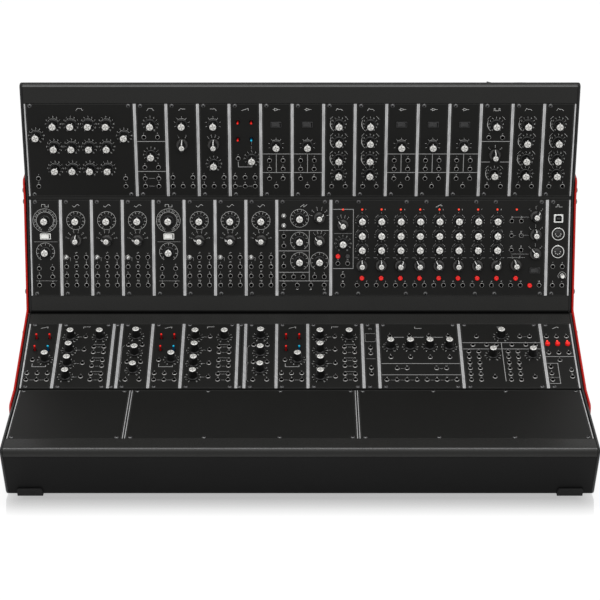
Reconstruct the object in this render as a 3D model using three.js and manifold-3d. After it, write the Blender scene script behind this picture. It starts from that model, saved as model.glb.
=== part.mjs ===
// A modular synthesizer: two identical sloped cases, the upper one stood on the lower one and held by
// two side brackets, with four rows of plug-in modules. Millimetres, +Z up, the front faces -Y.
import * as THREE from 'three';
import { mergeVertices } from 'three/addons/utils/BufferGeometryUtils.js';
import Module from 'manifold-3d';

const wasm = await Module();
wasm.setup();

// Module rows
const unitWidth = 5.08;
const unitsPerRow = 140;
const panelHeight = 128.5;
const panelThickness = 2;
const rowGap = 4.5;
const moduleDepth = 12;
const seamWidth = 0.4;
const seamDepth = 1;
const clearance = 0.3;
const overrun = 1;

// Case section, angles in degrees
const frontSlope = 6.4;
const kneeBend = 14.5;
const noseAngle = 68;
const upperTurn = 76;
const noseRadius = 5.5;
const bezelFlat = 21;
const bezelWall = 2.5;
const lipLength = 4.5;
const railLedge = 8;
const railThickness = 6;
const railShoulder = 3;
const frontFaceLength = 83.7;
const sheetThickness = 1.5;
const sheetBend = 4;
const cheekThickness = 3.6;
const cheekGap = 1;

// Where the two cases meet
const noseContactAngle = 26;
const caseGap = 0.7;
const bracketThickness = 2.5;
const bracketArm = 58;
const bracketCorner = 12;
const bracketBend = 36;
const bracketRise = 23.3;
const bracketReach = 43.6;
const bracketScrewRadius = 4.5;
const bracketScrewHeight = 2.9;
const bracketScrewInset = 12;

// Feet
const footHeight = 2.6;
const footWidth = 31;
const footInset = 14.6;
const footProud = 2;
const footRise = 12.5;
const footReach = 28;

// Potentiometer knob
const knobRadius = 7;
const knobTopRadius = 4.9;
const knobSkirt = 2;
const knobHeight = 13;
const shaftRadius = 3;
const shaftDepth = 5;
const pointerWidth = 1.2;
const pointerDepth = 0.6;

// Rotary selector
const selectorRadius = 8;
const selectorBase = 6;
const selectorHeight = 16;
const selectorBarWidth = 6.4;
const selectorBarLength = 14.6;

// Toggle levers, long and small
const leverHeight = 9;
const leverTipRadius = 1.5;
const leverStemRadius = 1;
const leverBallRadius = 2.2;
const leverBallCut = 30;
const leverPivotHeight = 0.6;
const leverSleeveGap = 0.9;
const collarRadius = 3.4;
const collarBore = 2.5;
const collarHeight = 2.4;
const collarDepth = 2.6;
const smallLeverHeight = 8;
const smallLeverTipRadius = 1.2;
const smallKnobRadius = 3;
const smallKnobHeight = 8;

// Rockers: on the modules, and the larger power rocker
const rockerLength = 14;
const rockerWidth = 7.7;
const rockerRim = 1;
const rockerRise = 1.4;
const rockerTip = 1.6;
const rockerDepth = 4;
const rockerTravel = 16;
const powerRockerLength = 21;
const powerRockerWidth = 14;

// Buttons, lamps and sockets
const buttonRadius = 3.1;
const buttonHeight = 3;
const buttonTravel = 1;
const buttonDepth = 3;
const lampRadius = 1.6;
const lampHeight = 1.2;
const jackRadius = 1.9;
const jackDepth = 6;
const dinRadius = 8.5;
const dinRise = 1;
const dinFaceRadius = 7;
const usbWidth = 12.3;
const usbHeight = 11;
const usbRise = 0.8;

// Power board and rear socket
const boardLengthShare = 0.86;
const boardWidth = 52;
const boardThickness = 1.6;
const standoffHeight = 6;
const standoffRadius = 3;
const headerLength = 23;
const headerWidth = 8.5;
const headerHeight = 9;
const headerCount = 7;
const supplyLength = 110;
const supplyHeight = 24;
const socketSide = 15;
const socketRise = 2;
const socketBore = 3.1;
const socketPin = 1;
const socketDepth = 9;
const socketInset = 70;
const socketSpacing = 34;
const socketDrop = 38;

// Facets, and how near two points are taken as one
const cornerSteps = 3;
const jackSides = 5;
const lampSides = 4;
const knobSides = 6;
const smallSides = 5;
const turnedSides = 8;
const weldDistance = 1e-4;

// Values that follow from the sizes above
const rowWidth = unitWidth * unitsPerRow;
const cheekInner = rowWidth / 2 + cheekGap;
const cheekOuter = cheekInner + cheekThickness;
const panelSeat = panelThickness + clearance;
const noseTangent = noseRadius / Math.tan(radians(noseAngle) / 2);
const noseCentreDistance = noseRadius / Math.sin(radians(noseAngle) / 2);
const bezelReach = bezelFlat + noseTangent;
const backSlope = frontSlope + kneeBend;

function radians(degrees) {
  return THREE.MathUtils.degToRad(degrees);
}

function heading(degrees) {
  return new THREE.Vector2(Math.cos(radians(degrees)), Math.sin(radians(degrees)));
}

function along(point, degrees, distance) {
  return point.clone().addScaledVector(heading(degrees), distance);
}

// Points of the case section: x is depth from the front nose, y is height above the table
const frontFaceHeading = frontSlope - noseAngle;
const noseLead = heading(frontSlope - noseAngle / 2).x * noseCentreDistance - noseRadius;
const frontNose = new THREE.Vector2(-noseLead, footHeight - heading(frontFaceHeading).y * frontFaceLength);
const frontRow = along(frontNose, frontSlope, bezelReach);
const knee = along(frontRow, frontSlope, panelHeight + rowGap / 2);
const backRow = along(knee, backSlope, rowGap / 2);
const rearNose = along(backRow, backSlope, panelHeight + bezelReach);
const rearWallHeading = backSlope + noseAngle - 180;
const frontCorner = along(frontNose, frontFaceHeading, frontFaceLength);
const rearWallLength = (footHeight - rearNose.y) / heading(rearWallHeading).y;
const rearCorner = along(rearNose, rearWallHeading, rearWallLength);

const colours = {
  sheet: { color: 0x1d1e1e, roughness: 0.55, metalness: 0.3 },
  bezel: { color: 0x2c2d2d, roughness: 0.45, metalness: 0.5 },
  rail: { color: 0x8d9093, roughness: 0.35, metalness: 0.9 },
  bracket: { color: 0xa3150e, roughness: 0.45, metalness: 0.2 },
  rubber: { color: 0x131313, roughness: 0.85, metalness: 0 },
  board: { color: 0x1f4d2e, roughness: 0.6, metalness: 0.1 },
  panel: { color: 0x202121, roughness: 0.5, metalness: 0.4 },
  knob: { color: 0x151515, roughness: 0.5, metalness: 0 },
  redLever: { color: 0xc01a16, roughness: 0.4, metalness: 0 },
  blueLever: { color: 0x0090c4, roughness: 0.4, metalness: 0 },
  steel: { color: 0xb9bcc0, roughness: 0.25, metalness: 1 },
  white: { color: 0xe4e4e0, roughness: 0.4, metalness: 0 },
  black: { color: 0x0f0f0f, roughness: 0.4, metalness: 0 },
  redButton: { color: 0xd42a2a, roughness: 0.35, metalness: 0 },
};

function finish(name) {
  return new THREE.MeshStandardMaterial(colours[name]);
}

// One closed skin: shared corners merged, empty triangles dropped, faces pointing out
function closedSkin(geometry) {
  const bare = geometry.clone();
  bare.deleteAttribute('normal');
  bare.deleteAttribute('uv');
  const merged = mergeVertices(bare, weldDistance);
  const source = merged.index.array;
  const faces = [];
  for (let i = 0; i < source.length; i += 3) {
    const [a, b, c] = [source[i], source[i + 1], source[i + 2]];
    if (a !== b && b !== c && c !== a) faces.push(a, b, c);
  }
  const points = merged.attributes.position;
  const [a, b, c] = [new THREE.Vector3(), new THREE.Vector3(), new THREE.Vector3()];
  let volume = 0;
  for (let i = 0; i < faces.length; i += 3) {
    a.fromBufferAttribute(points, faces[i]);
    b.fromBufferAttribute(points, faces[i + 1]);
    c.fromBufferAttribute(points, faces[i + 2]);
    volume += a.dot(b.cross(c));
  }
  merged.setIndex(volume < 0 ? faces.reverse() : faces);
  return merged;
}

function toSolid(geometry) {
  const skin = closedSkin(geometry);
  const vertProperties = new Float32Array(skin.attributes.position.array);
  const triVerts = new Uint32Array(skin.index.array);
  return new wasm.Manifold(new wasm.Mesh({ numProp: 3, vertProperties, triVerts }));
}

function fromSolid(solid) {
  const mesh = solid.getMesh();
  const geometry = new THREE.BufferGeometry();
  geometry.setAttribute('position', new THREE.BufferAttribute(new Float32Array(mesh.vertProperties), 3));
  geometry.setIndex(Array.from(mesh.triVerts));
  return geometry;
}

function joined(geometries) {
  return geometries.map(toSolid).reduce((whole, piece) => whole.add(piece));
}

// A polygon whose corners are rounded where they carry a radius
function roundedShape(corners) {
  const points = [];
  corners.forEach(({ at, radius = 0 }, i) => {
    if (radius === 0) {
      points.push(at.clone());
      return;
    }
    const before = corners.at(i - 1).at.clone().sub(at).normalize();
    const after = corners[(i + 1) % corners.length].at.clone().sub(at).normalize();
    const half = Math.acos(before.dot(after)) / 2;
    const bisector = before.clone().add(after).normalize();
    const centre = at.clone().addScaledVector(bisector, radius / Math.sin(half));
    const start = at.clone().addScaledVector(before, radius / Math.tan(half)).sub(centre);
    const sweep = (Math.PI - 2 * half) * Math.sign(before.cross(after));
    for (let step = 0; step <= cornerSteps; step += 1) {
      const turned = start.clone().rotateAround(new THREE.Vector2(), (-sweep * step) / cornerSteps);
      points.push(centre.clone().add(turned));
    }
  });
  return new THREE.Shape(points);
}

// A section in the depth and height plane, carried along the case's length from one x to another
function lengthwise(shape, fromX, toX) {
  const geometry = new THREE.ExtrudeGeometry(shape, { depth: toX - fromX, bevelEnabled: false });
  const axes = new THREE.Matrix4().makeBasis(
    new THREE.Vector3(0, 1, 0),
    new THREE.Vector3(0, 0, 1),
    new THREE.Vector3(1, 0, 0),
  );
  return geometry.applyMatrix4(axes.setPosition(fromX, 0, 0));
}

function block(fromX, toX, fromY, toY, fromZ, toZ) {
  const geometry = new THREE.BoxGeometry(toX - fromX, toY - fromY, toZ - fromZ);
  return geometry.translate((fromX + toX) / 2, (fromY + toY) / 2, (fromZ + toZ) / 2);
}

// A solid of revolution about the upright axis from [radius, height] pairs
function turned(profile, sides, x = 0, y = 0) {
  const points = profile.map(([radius, height]) => new THREE.Vector2(radius, height));
  const geometry = new THREE.LatheGeometry(points, sides);
  return geometry.rotateX(Math.PI / 2).translate(x, y, 0);
}

function post(radius, fromZ, toZ, sides, x = 0, y = 0) {
  const centre = new THREE.Vector2();
  const corners = Array.from({ length: sides }, (_, i) => along(centre, (360 * i) / sides, radius));
  const options = { depth: toZ - fromZ, bevelEnabled: false };
  return new THREE.ExtrudeGeometry(new THREE.Shape(corners), options).translate(x, y, fromZ);
}

function part(name, geometry, material) {
  const mesh = new THREE.Mesh(geometry, finish(material));
  mesh.name = name;
  return mesh;
}

// Case section pieces. A row's own frame: along the panel from its front edge, and out from its face
function onRow(origin, slope, distance, out) {
  return along(along(origin, slope, distance), slope + 90, out);
}

function bezelCorners(edgePoint, wallHeading) {
  const lipEnd = noseTangent + lipLength;
  const corner = edgePoint(bezelReach, 0);
  const innerCorner = edgePoint(bezelReach - bezelWall / Math.tan(radians(noseAngle) / 2), -bezelWall);
  const outerLip = along(corner, wallHeading, lipEnd);
  const innerLip = innerCorner.clone().sub(corner).dot(heading(wallHeading));
  return [
    { at: edgePoint(-railLedge, -panelSeat) },
    { at: edgePoint(clearance, -panelSeat) },
    { at: edgePoint(clearance, 0) },
    { at: corner, radius: noseRadius },
    { at: outerLip },
    { at: along(innerCorner, wallHeading, lipEnd - innerLip) },
    { at: innerCorner, radius: noseRadius - bezelWall },
    { at: edgePoint(railShoulder, -bezelWall - clearance) },
    { at: edgePoint(railShoulder, -panelSeat - railThickness) },
    { at: edgePoint(-railLedge, -panelSeat - railThickness) },
  ];
}

function frontEdge(distance, out) {
  return onRow(frontRow, frontSlope, -distance, out);
}

function rearEdge(distance, out) {
  return onRow(backRow, backSlope, panelHeight + distance, out);
}

function kneeAt(drop) {
  return along(knee, frontSlope + kneeBend / 2 - 90, drop / Math.cos(radians(kneeBend / 2)));
}

function centreRailShape() {
  const deep = panelSeat + railThickness;
  const frontEnd = panelHeight - railLedge;
  return roundedShape([
    { at: onRow(frontRow, frontSlope, frontEnd, -panelSeat) },
    { at: kneeAt(panelSeat) },
    { at: onRow(backRow, backSlope, railLedge, -panelSeat) },
    { at: onRow(backRow, backSlope, railLedge, -deep) },
    { at: kneeAt(deep) },
    { at: onRow(frontRow, frontSlope, frontEnd, -deep) },
  ]);
}

function cheekShape() {
  return roundedShape([
    { at: frontNose, radius: noseRadius },
    { at: frontCorner, radius: sheetBend },
    { at: rearCorner, radius: sheetBend },
    { at: rearNose, radius: noseRadius },
    { at: knee },
  ]);
}

function shellShape() {
  const lipEnd = noseTangent + lipLength + clearance;
  const frontIn = frontFaceHeading + 90;
  const rearIn = rearWallHeading - 90;
  const frontTop = along(frontNose, frontFaceHeading, lipEnd);
  const rearTop = along(rearNose, rearWallHeading, lipEnd);
  const innerHeight = footHeight + sheetThickness;
  const frontInner = along(frontTop, frontIn, sheetThickness);
  const rearInner = along(rearTop, rearIn, sheetThickness);
  const frontDrop = (innerHeight - frontInner.y) / heading(frontFaceHeading).y;
  const rearDrop = (innerHeight - rearInner.y) / heading(rearWallHeading).y;
  return roundedShape([
    { at: frontTop },
    { at: frontCorner, radius: sheetBend },
    { at: rearCorner, radius: sheetBend },
    { at: rearTop },
    { at: rearInner },
    { at: along(rearInner, rearWallHeading, rearDrop), radius: sheetBend - sheetThickness },
    { at: along(frontInner, frontFaceHeading, frontDrop), radius: sheetBend - sheetThickness },
    { at: frontInner },
  ]);
}

function footShape(corner, wallHeading, side) {
  const wallPoint = (height, out) => {
    const start = along(corner, wallHeading - 90 * side, out);
    return along(start, wallHeading, (height - start.y) / heading(wallHeading).y);
  };
  const end = corner.x + footReach * side;
  const top = footHeight - clearance;
  return roundedShape([
    { at: wallPoint(footRise, clearance) },
    { at: wallPoint(footRise, clearance + footProud) },
    { at: wallPoint(0, clearance + footProud), radius: footProud },
    { at: new THREE.Vector2(end, 0) },
    { at: new THREE.Vector2(end, top) },
    { at: wallPoint(top, clearance), radius: sheetBend + clearance },
  ]);
}

// The upper case is the lower one turned up, its front nose against the lower one's rear nose
const frontNoseCentre = along(frontNose, frontSlope - noseAngle / 2, noseCentreDistance);
const rearNoseCentre = along(rearNose, backSlope + noseAngle / 2 - 180, noseCentreDistance);
const upperNoseCentre = along(rearNoseCentre, noseContactAngle, 2 * noseRadius + caseGap);
const upperShift = upperNoseCentre.clone().sub(frontNoseCentre.clone().rotateAround(
  new THREE.Vector2(),
  radians(upperTurn),
));

function raised(point) {
  return point.clone().rotateAround(new THREE.Vector2(), radians(upperTurn)).add(upperShift);
}

function crossing(pointA, headingA, pointB, headingB) {
  const across = heading(headingB + 90);
  const distance = pointB.clone().sub(pointA).dot(across) / heading(headingA).dot(across);
  return along(pointA, headingA, distance);
}

function bracketShape() {
  const upperFront = frontSlope + upperTurn;
  const upperBack = backSlope + upperTurn;
  const top = raised(onRow(backRow, backSlope, bracketRise, 0));
  const end = along(knee, frontSlope + 180, bracketReach);
  const inside = (point, slope) => along(point, slope - 90, bracketArm);
  return roundedShape([
    { at: top, radius: bracketCorner / 2 },
    { at: raised(knee) },
    { at: crossing(knee, backSlope, raised(knee), upperFront) },
    { at: knee },
    { at: end, radius: bracketCorner / 2 },
    { at: inside(end, frontSlope), radius: bracketCorner },
    { at: kneeAt(bracketArm) },
    {
      at: crossing(kneeAt(bracketArm), backSlope, raised(kneeAt(bracketArm)), upperFront),
      radius: bracketBend,
    },
    { at: raised(kneeAt(bracketArm)) },
    { at: inside(top, upperBack), radius: bracketCorner },
  ]);
}

function bracketScrews() {
  const nearEdge = railLedge / 2;
  const farEdge = panelHeight - railLedge / 2;
  const seats = [
    [backRow, backSlope, farEdge],
    [backRow, backSlope, nearEdge],
    [frontRow, frontSlope, farEdge],
  ].map(([origin, slope, distance]) => onRow(origin, slope, distance, -bracketScrewInset));
  const upperSeats = [
    [backRow, backSlope, nearEdge],
    [frontRow, frontSlope, farEdge],
    [frontRow, frontSlope, nearEdge],
  ].map(([origin, slope, distance]) => raised(onRow(origin, slope, distance, -bracketScrewInset)));
  return [...seats, ...upperSeats];
}

function bracketSolid(side) {
  const inner = cheekOuter + clearance;
  const outer = inner + bracketThickness;
  const span = (from, to) => (side > 0 ? [from, to] : [-to, -from]);
  const plate = lengthwise(bracketShape(), ...span(inner, outer));
  const root = bracketThickness / 2;
  const heads = bracketScrews().map((seat) => {
    const head = post(bracketScrewRadius, 0, root + bracketScrewHeight, smallSides + 1);
    return head.rotateY((side * Math.PI) / 2).translate(side * (outer - root), seat.x, seat.y);
  });
  return fromSolid(joined([plate, ...heads]));
}

// Controls. Each stands on the panel's face at z = 0, and the moving ones turn in a hole of their own
const sink = panelThickness / 2;

function fixedKnob(x, y) {
  const profile = [[0, -sink], [knobRadius, -sink], [knobTopRadius, knobHeight], [0, knobHeight]];
  return turned(profile, knobSides, x, y);
}

function movingKnob() {
  const body = turned([
    [0, -shaftDepth],
    [shaftRadius, -shaftDepth],
    [shaftRadius, clearance],
    [knobRadius, clearance],
    [knobRadius - pointerDepth, knobSkirt],
    [knobTopRadius, knobHeight],
    [0, knobHeight],
  ], turnedSides);
  const half = pointerWidth / 2;
  const pointer = block(-half, half, knobTopRadius / 2, knobRadius, knobSkirt / 2, knobHeight - half);
  return fromSolid(joined([body, pointer]));
}

function selectorBar(length) {
  const halfWidth = selectorBarWidth / 2;
  return block(-halfWidth, halfWidth, -length / 2, length / 2, selectorBase - sink, selectorHeight);
}

function fixedSelector(x, y) {
  const base = post(selectorRadius, -sink, selectorBase, knobSides, x, y);
  return fromSolid(joined([base, selectorBar(selectorBarLength).translate(x, y, 0)]));
}

function movingSelector() {
  const body = turned([
    [0, -shaftDepth],
    [shaftRadius, -shaftDepth],
    [shaftRadius, clearance],
    [selectorRadius, clearance],
    [selectorRadius - pointerDepth, selectorBase],
    [0, selectorBase],
  ], turnedSides);
  return fromSolid(joined([body, selectorBar(selectorBarLength)]));
}

function fixedLever(x, y, height, tipRadius) {
  const base = [[0, -sink], [collarRadius, -sink], [collarRadius, collarHeight]];
  const stick = [[tipRadius, collarHeight], [tipRadius, height], [0, height]];
  return turned([...base, ...stick], smallSides, x, y);
}

function collar(x, y) {
  return post(collarRadius, -sink, collarHeight, turnedSides, x, y);
}

function movingLever(height, tipRadius) {
  const sleeve = collarHeight + leverSleeveGap - leverPivotHeight;
  const top = height - leverPivotHeight;
  const waist = leverBallRadius * Math.cos(radians(leverBallCut));
  return turned([
    [0, -leverBallRadius],
    [waist, -leverBallRadius / 2],
    [waist, leverBallRadius / 2],
    [leverStemRadius, waist],
    [leverStemRadius, sleeve],
    [tipRadius, sleeve],
    [tipRadius, top - tipRadius / 2],
    [tipRadius / 2, top],
    [0, top],
  ], turnedSides - 2);
}

function rockerFrame(x, y, length, width) {
  const deep = -rockerDepth - rockerRim;
  return block(x - length / 2, x + length / 2, y - width / 2, y + width / 2, deep, rockerRise);
}

function rockerPocket(x, y, length, width) {
  const halfLength = length / 2 - rockerRim;
  const halfWidth = width / 2 - rockerRim;
  const top = rockerRise + overrun;
  return block(x - halfLength, x + halfLength, y - halfWidth, y + halfWidth, -rockerDepth, top);
}

function rockerPaddle(length, width) {
  const half = length / 2 - rockerRim - clearance;
  const end = half - rockerTip / 4;
  const top = rockerRise + rockerTip;
  const foot = rockerTip - rockerDepth;
  const side = new THREE.Shape([
    new THREE.Vector2(-end, top),
    new THREE.Vector2(-half / 2, foot),
    new THREE.Vector2(half / 2, foot),
    new THREE.Vector2(end, top),
    new THREE.Vector2(0, rockerRise),
  ]);
  const depth = width - 2 * (rockerRim + clearance);
  const geometry = new THREE.ExtrudeGeometry(side, { depth, bevelEnabled: false });
  return geometry.translate(0, 0, -depth / 2).rotateX(Math.PI / 2);
}

function fixedRocker(x, y) {
  const frame = rockerFrame(x, y, rockerLength, rockerWidth);
  const paddle = rockerPaddle(rockerLength, rockerWidth).translate(x, y, 0);
  return fromSolid(joined([frame, paddle]));
}

function buttonPlunger() {
  return post(buttonRadius, -buttonDepth, buttonHeight, turnedSides);
}

function dinSocket(x, y) {
  const profile = [[0, -sink], [dinRadius, -sink], [dinRadius, dinRise], [dinFaceRadius, dinRise]];
  return turned([...profile, [dinFaceRadius, dinRise / 4], [0, dinRise / 4]], turnedSides, x, y);
}

// A jack's bore narrows from its rim to its tip contact, with few faces because it repeats so often
function jackBore(x, y) {
  const mouth = (jackRadius * (jackDepth + overrun)) / jackDepth;
  return turned([[0, -jackDepth], [mouth, overrun], [0, overrun]], jackSides, x, y);
}

function leverControl(height, tipRadius, material) {
  return {
    fixed: (x, y) => fixedLever(x, y, height, tipRadius),
    moving: () => closedSkin(movingLever(height, tipRadius)),
    base: collar,
    hole: (x, y) => post(collarBore, -collarDepth, collarHeight + overrun, turnedSides, x, y),
    lift: leverPivotHeight,
    material,
  };
}

// How each kind of control is made: what it cuts, what stays on the panel, and what moves
const controls = {
  knobs: {
    fixed: fixedKnob,
    moving: () => closedSkin(movingKnob()),
    hole: (x, y) => post(shaftRadius + clearance, -shaftDepth - clearance, overrun, turnedSides, x, y),
    material: 'knob',
  },
  selectors: {
    fixed: fixedSelector,
    moving: () => closedSkin(movingSelector()),
    hole: (x, y) => post(shaftRadius + clearance, -shaftDepth - clearance, overrun, turnedSides, x, y),
    material: 'knob',
  },
  redLevers: leverControl(leverHeight, leverTipRadius, 'redLever'),
  blueLevers: leverControl(leverHeight, leverTipRadius, 'blueLever'),
  smallLevers: leverControl(smallLeverHeight, smallLeverTipRadius, 'steel'),
  rockers: {
    fixed: fixedRocker,
    moving: () => closedSkin(rockerPaddle(rockerLength, rockerWidth)),
    base: (x, y) => rockerFrame(x, y, rockerLength, rockerWidth),
    hole: (x, y) => rockerPocket(x, y, rockerLength, rockerWidth),
    tilt: -rockerTravel / 2,
    material: 'black',
  },
  buttons: {
    fixed: (x, y) => post(buttonRadius, -sink, buttonHeight, smallSides, x, y),
    moving: () => closedSkin(buttonPlunger()),
    hole: (x, y) => {
      const floor = -buttonDepth - buttonTravel - clearance;
      return post(buttonRadius + clearance, floor, overrun, turnedSides, x, y);
    },
    material: 'redButton',
  },
  smallKnobs: { fixed: (x, y) => post(smallKnobRadius, -sink, smallKnobHeight, knobSides, x, y) },
  lamps: { fixed: (x, y) => post(lampRadius, -sink, lampHeight, lampSides, x, y) },
  dinSockets: { fixed: dinSocket },
  usbSockets: {
    fixed: (x, y) => {
      const [halfWidth, halfHeight] = [usbWidth / 2, usbHeight / 2];
      return block(x - halfWidth, x + halfWidth, y - halfHeight, y + halfHeight, -sink, usbRise);
    },
  },
  jacks: { hole: jackBore },
};

// Panel layouts: width in units, and places as shares of the panel's width and height
const threeColumnShares = [0.165, 0.485, 0.805];
const outerColumnShares = [0.165, 0.805];
const pairColumnShares = [0.27, 0.706];
const middleColumnShares = [0.487];
const topKnobRowShare = 0.784;
const lowJackRowShare = 0.112;

function grid(columnShares, rowShares) {
  return rowShares.flatMap((row) => columnShares.map((column) => [column, row]));
}

const layoutShares = {
  filterBank: {
    units: 28,
    knobs: [...grid([0.257, 0.417, 0.577, 0.738], [0.784, 0.542, 0.306]), ...grid([0.097, 0.898], [0.661])],
    jacks: grid([0.096, 0.898], [0.197, 0.111]),
  },
  filters: {
    units: 8,
    knobs: grid(middleColumnShares, [0.784, 0.456]),
    jacks: grid(pairColumnShares, [0.643, 0.318, 0.197, lowJackRowShare]),
  },
  highPass: {
    units: 8,
    knobs: grid(middleColumnShares, [topKnobRowShare]),
    selectors: grid(middleColumnShares, [0.565]),
    jacks: [...grid(outerColumnShares, [0.208]), ...grid(threeColumnShares, [lowJackRowShare])],
  },
  lowPass: {
    units: 8,
    knobs: grid(middleColumnShares, [topKnobRowShare, 0.358]),
    selectors: grid(middleColumnShares, [0.565]),
    jacks: [...grid(outerColumnShares, [0.208]), ...grid(threeColumnShares, [lowJackRowShare])],
  },
  controlVoltage: {
    units: 8,
    redLevers: [[0.27, 0.81], [0.7, 0.81], [0.27, 0.628]],
    blueLevers: [[0.7, 0.628]],
    knobs: [[0.706, 0.413]],
    jacks: [[0.27, 0.413], ...grid(threeColumnShares, [0.208, lowJackRowShare])],
  },
  amplifier: {
    units: 8,
    rockers: grid(middleColumnShares, [0.778]),
    knobs: grid(middleColumnShares, [0.556]),
    jacks: [...grid(pairColumnShares, [0.393, 0.3, 0.196]), ...grid(middleColumnShares, [lowJackRowShare])],
  },
  envelope: {
    units: 8,
    knobs: grid(middleColumnShares, [0.783, 0.6, 0.412, 0.251]),
    jacks: grid(pairColumnShares, [lowJackRowShare]),
  },
  triggerDelay: {
    units: 8,
    knobs: grid(middleColumnShares, [0.782, 0.252]),
    selectors: grid(middleColumnShares, [0.455]),
    jacks: grid(pairColumnShares, [0.64, lowJackRowShare]),
  },
  driver: {
    units: 8,
    knobs: grid(middleColumnShares, [topKnobRowShare, 0.459]),
    rockers: [[0.497, 0.62]],
    jacks: grid(pairColumnShares, [0.286, 0.2, 0.113]),
  },
  oscillator: {
    units: 8,
    knobs: grid(middleColumnShares, [topKnobRowShare]),
    selectors: grid(middleColumnShares, [0.58]),
    smallLevers: [[0.165, 0.404]],
    jacks: [
      ...grid(threeColumnShares, [0.113, 0.209, 0.306]),
      ...grid([0.485, 0.805], [0.403]),
    ],
  },
  wideOscillator: {
    units: 14,
    smallLevers: [[0.128, 0.833], [0.128, 0.733]],
    knobs: [[0.42, 0.808], [0.42, 0.571], [0.42, 0.361], [0.79, 0.361]],
    selectors: grid([0.788], [0.814, 0.573]),
    jacks: [
      ...grid([0.128], [0.622, 0.522, 0.411, 0.311]),
      ...grid([0.13, 0.309, 0.486, 0.7, 0.879], [0.2]),
      ...grid([0.13, 0.378, 0.63, 0.879], [0.113]),
    ],
  },
  midi: {
    units: 6,
    usbSockets: [[0.492, 0.806]],
    dinSockets: grid([0.492], [0.645, 0.461]),
    smallKnobs: [[0.7, 0.211]],
    jacks: grid([0.29, 0.7], [0.307, 0.111]),
  },
  controller: {
    units: 8,
    redLevers: [[0.305, 0.762], [0.725, 0.762], [0.305, 0.577]],
    blueLevers: [[0.725, 0.577]],
    knobs: [[0.669, 0.433]],
    jacks: [[0.273, 0.426], ...grid(threeColumnShares, [0.223, 0.126])],
  },
  mixer: {
    units: 14,
    knobs: [...grid([0.221], [0.784, 0.577, 0.372, 0.17]), [0.756, 0.784]],
    jacks: [
      ...grid([0.495], [0.792, 0.586, 0.378, 0.173]),
      ...grid([0.668, 0.851], [0.631, 0.546, 0.422, 0.335, 0.214, 0.126]),
    ],
  },
  spacer: { units: 2 },
  plain: { units: 28 },
  widePlain: { units: 56 },
  attenuators: {
    units: 8,
    knobs: grid(middleColumnShares, [0.798, 0.535, 0.27]),
    jacks: grid(pairColumnShares, [0.659, 0.3945, 0.126]),
  },
  multiple: {
    units: 4,
    jacks: grid([0.5], [0.613, 0.528, 0.304, 0.214]),
  },
  wideAttenuators: {
    units: 21,
    knobs: grid([0.148, 0.387, 0.625, 0.863], [0.6335]),
    jacks: [
      ...grid([0.147, 0.385, 0.622, 0.86], [0.8, 0.468]),
      ...grid([0.215, 0.333, 0.689, 0.808], [0.298]),
      ...grid([0.086, 0.206, 0.325, 0.445, 0.564, 0.683, 0.802, 0.92], [0.124]),
    ],
  },
  matrixMixer: {
    units: 21,
    knobs: [[0.507, 0.794], [0.382, 0.5], [0.864, 0.5]],
    jacks: [
      ...grid([0.206, 0.736, 0.855], [0.792]),
      ...grid([0.154, 0.32, 0.439, 0.627, 0.797, 0.916], [0.661]),
      ...grid([0.095, 0.2145, 0.571, 0.69], [0.556, 0.47, 0.383, 0.3, 0.21, 0.124]),
      ...grid([0.38, 0.858], [0.17]),
    ],
  },
  sequentialSwitch: {
    units: 8,
    buttons: grid(threeColumnShares, [0.672]),
    lamps: grid(threeColumnShares, [0.72]),
    jacks: [
      ...grid(threeColumnShares, [0.792, 0.538]),
      [0.485, 0.423],
      ...grid([0.165], [0.319, 0.22, 0.124]),
      ...grid([0.805], [0.27, 0.17]),
    ],
  },
};

// The step sequencer: a clock block, eight steps, an output column and a setting column
const stepCount = 8;
const stepPitchShare = 0.0893;
const firstStepShare = 0.1447;
const stepShares = Array.from({ length: stepCount }, (_, i) => firstStepShare + i * stepPitchShare);
const outputShare = firstStepShare + stepCount * stepPitchShare;
const stepJackShare = 0.0224;

layoutShares.sequencer = {
  units: 56,
  lamps: [...grid(stepShares, [0.898]), [outputShare, 0.898], [0.056, 0.898]],
  knobs: [...grid(stepShares, [0.784, 0.633, 0.486]), [0.056, 0.548]],
  selectors: [
    ...grid(stepShares, [0.318]),
    [outputShare, 0.323],
    [0.056, 0.738],
    ...grid([0.948], [0.827, 0.638, 0.441]),
  ],
  buttons: [
    ...grid(stepShares, [0.186]),
    [outputShare, 0.186],
    ...grid([0.033, 0.078], [0.414]),
    [0.925, 0.11],
  ],
  rockers: [[0.948, 0.266]],
  jacks: [
    ...grid([...stepShares, outputShare].flatMap((x) => [x - stepJackShare, x + stepJackShare]), [0.112]),
    ...grid([outputShare - stepJackShare, outputShare + stepJackShare], [0.78, 0.629, 0.479]),
    ...grid([0.033, 0.078], [0.339]),
    ...grid([0.056], [0.209, 0.113]),
    [0.969, 0.112],
  ],
};

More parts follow.
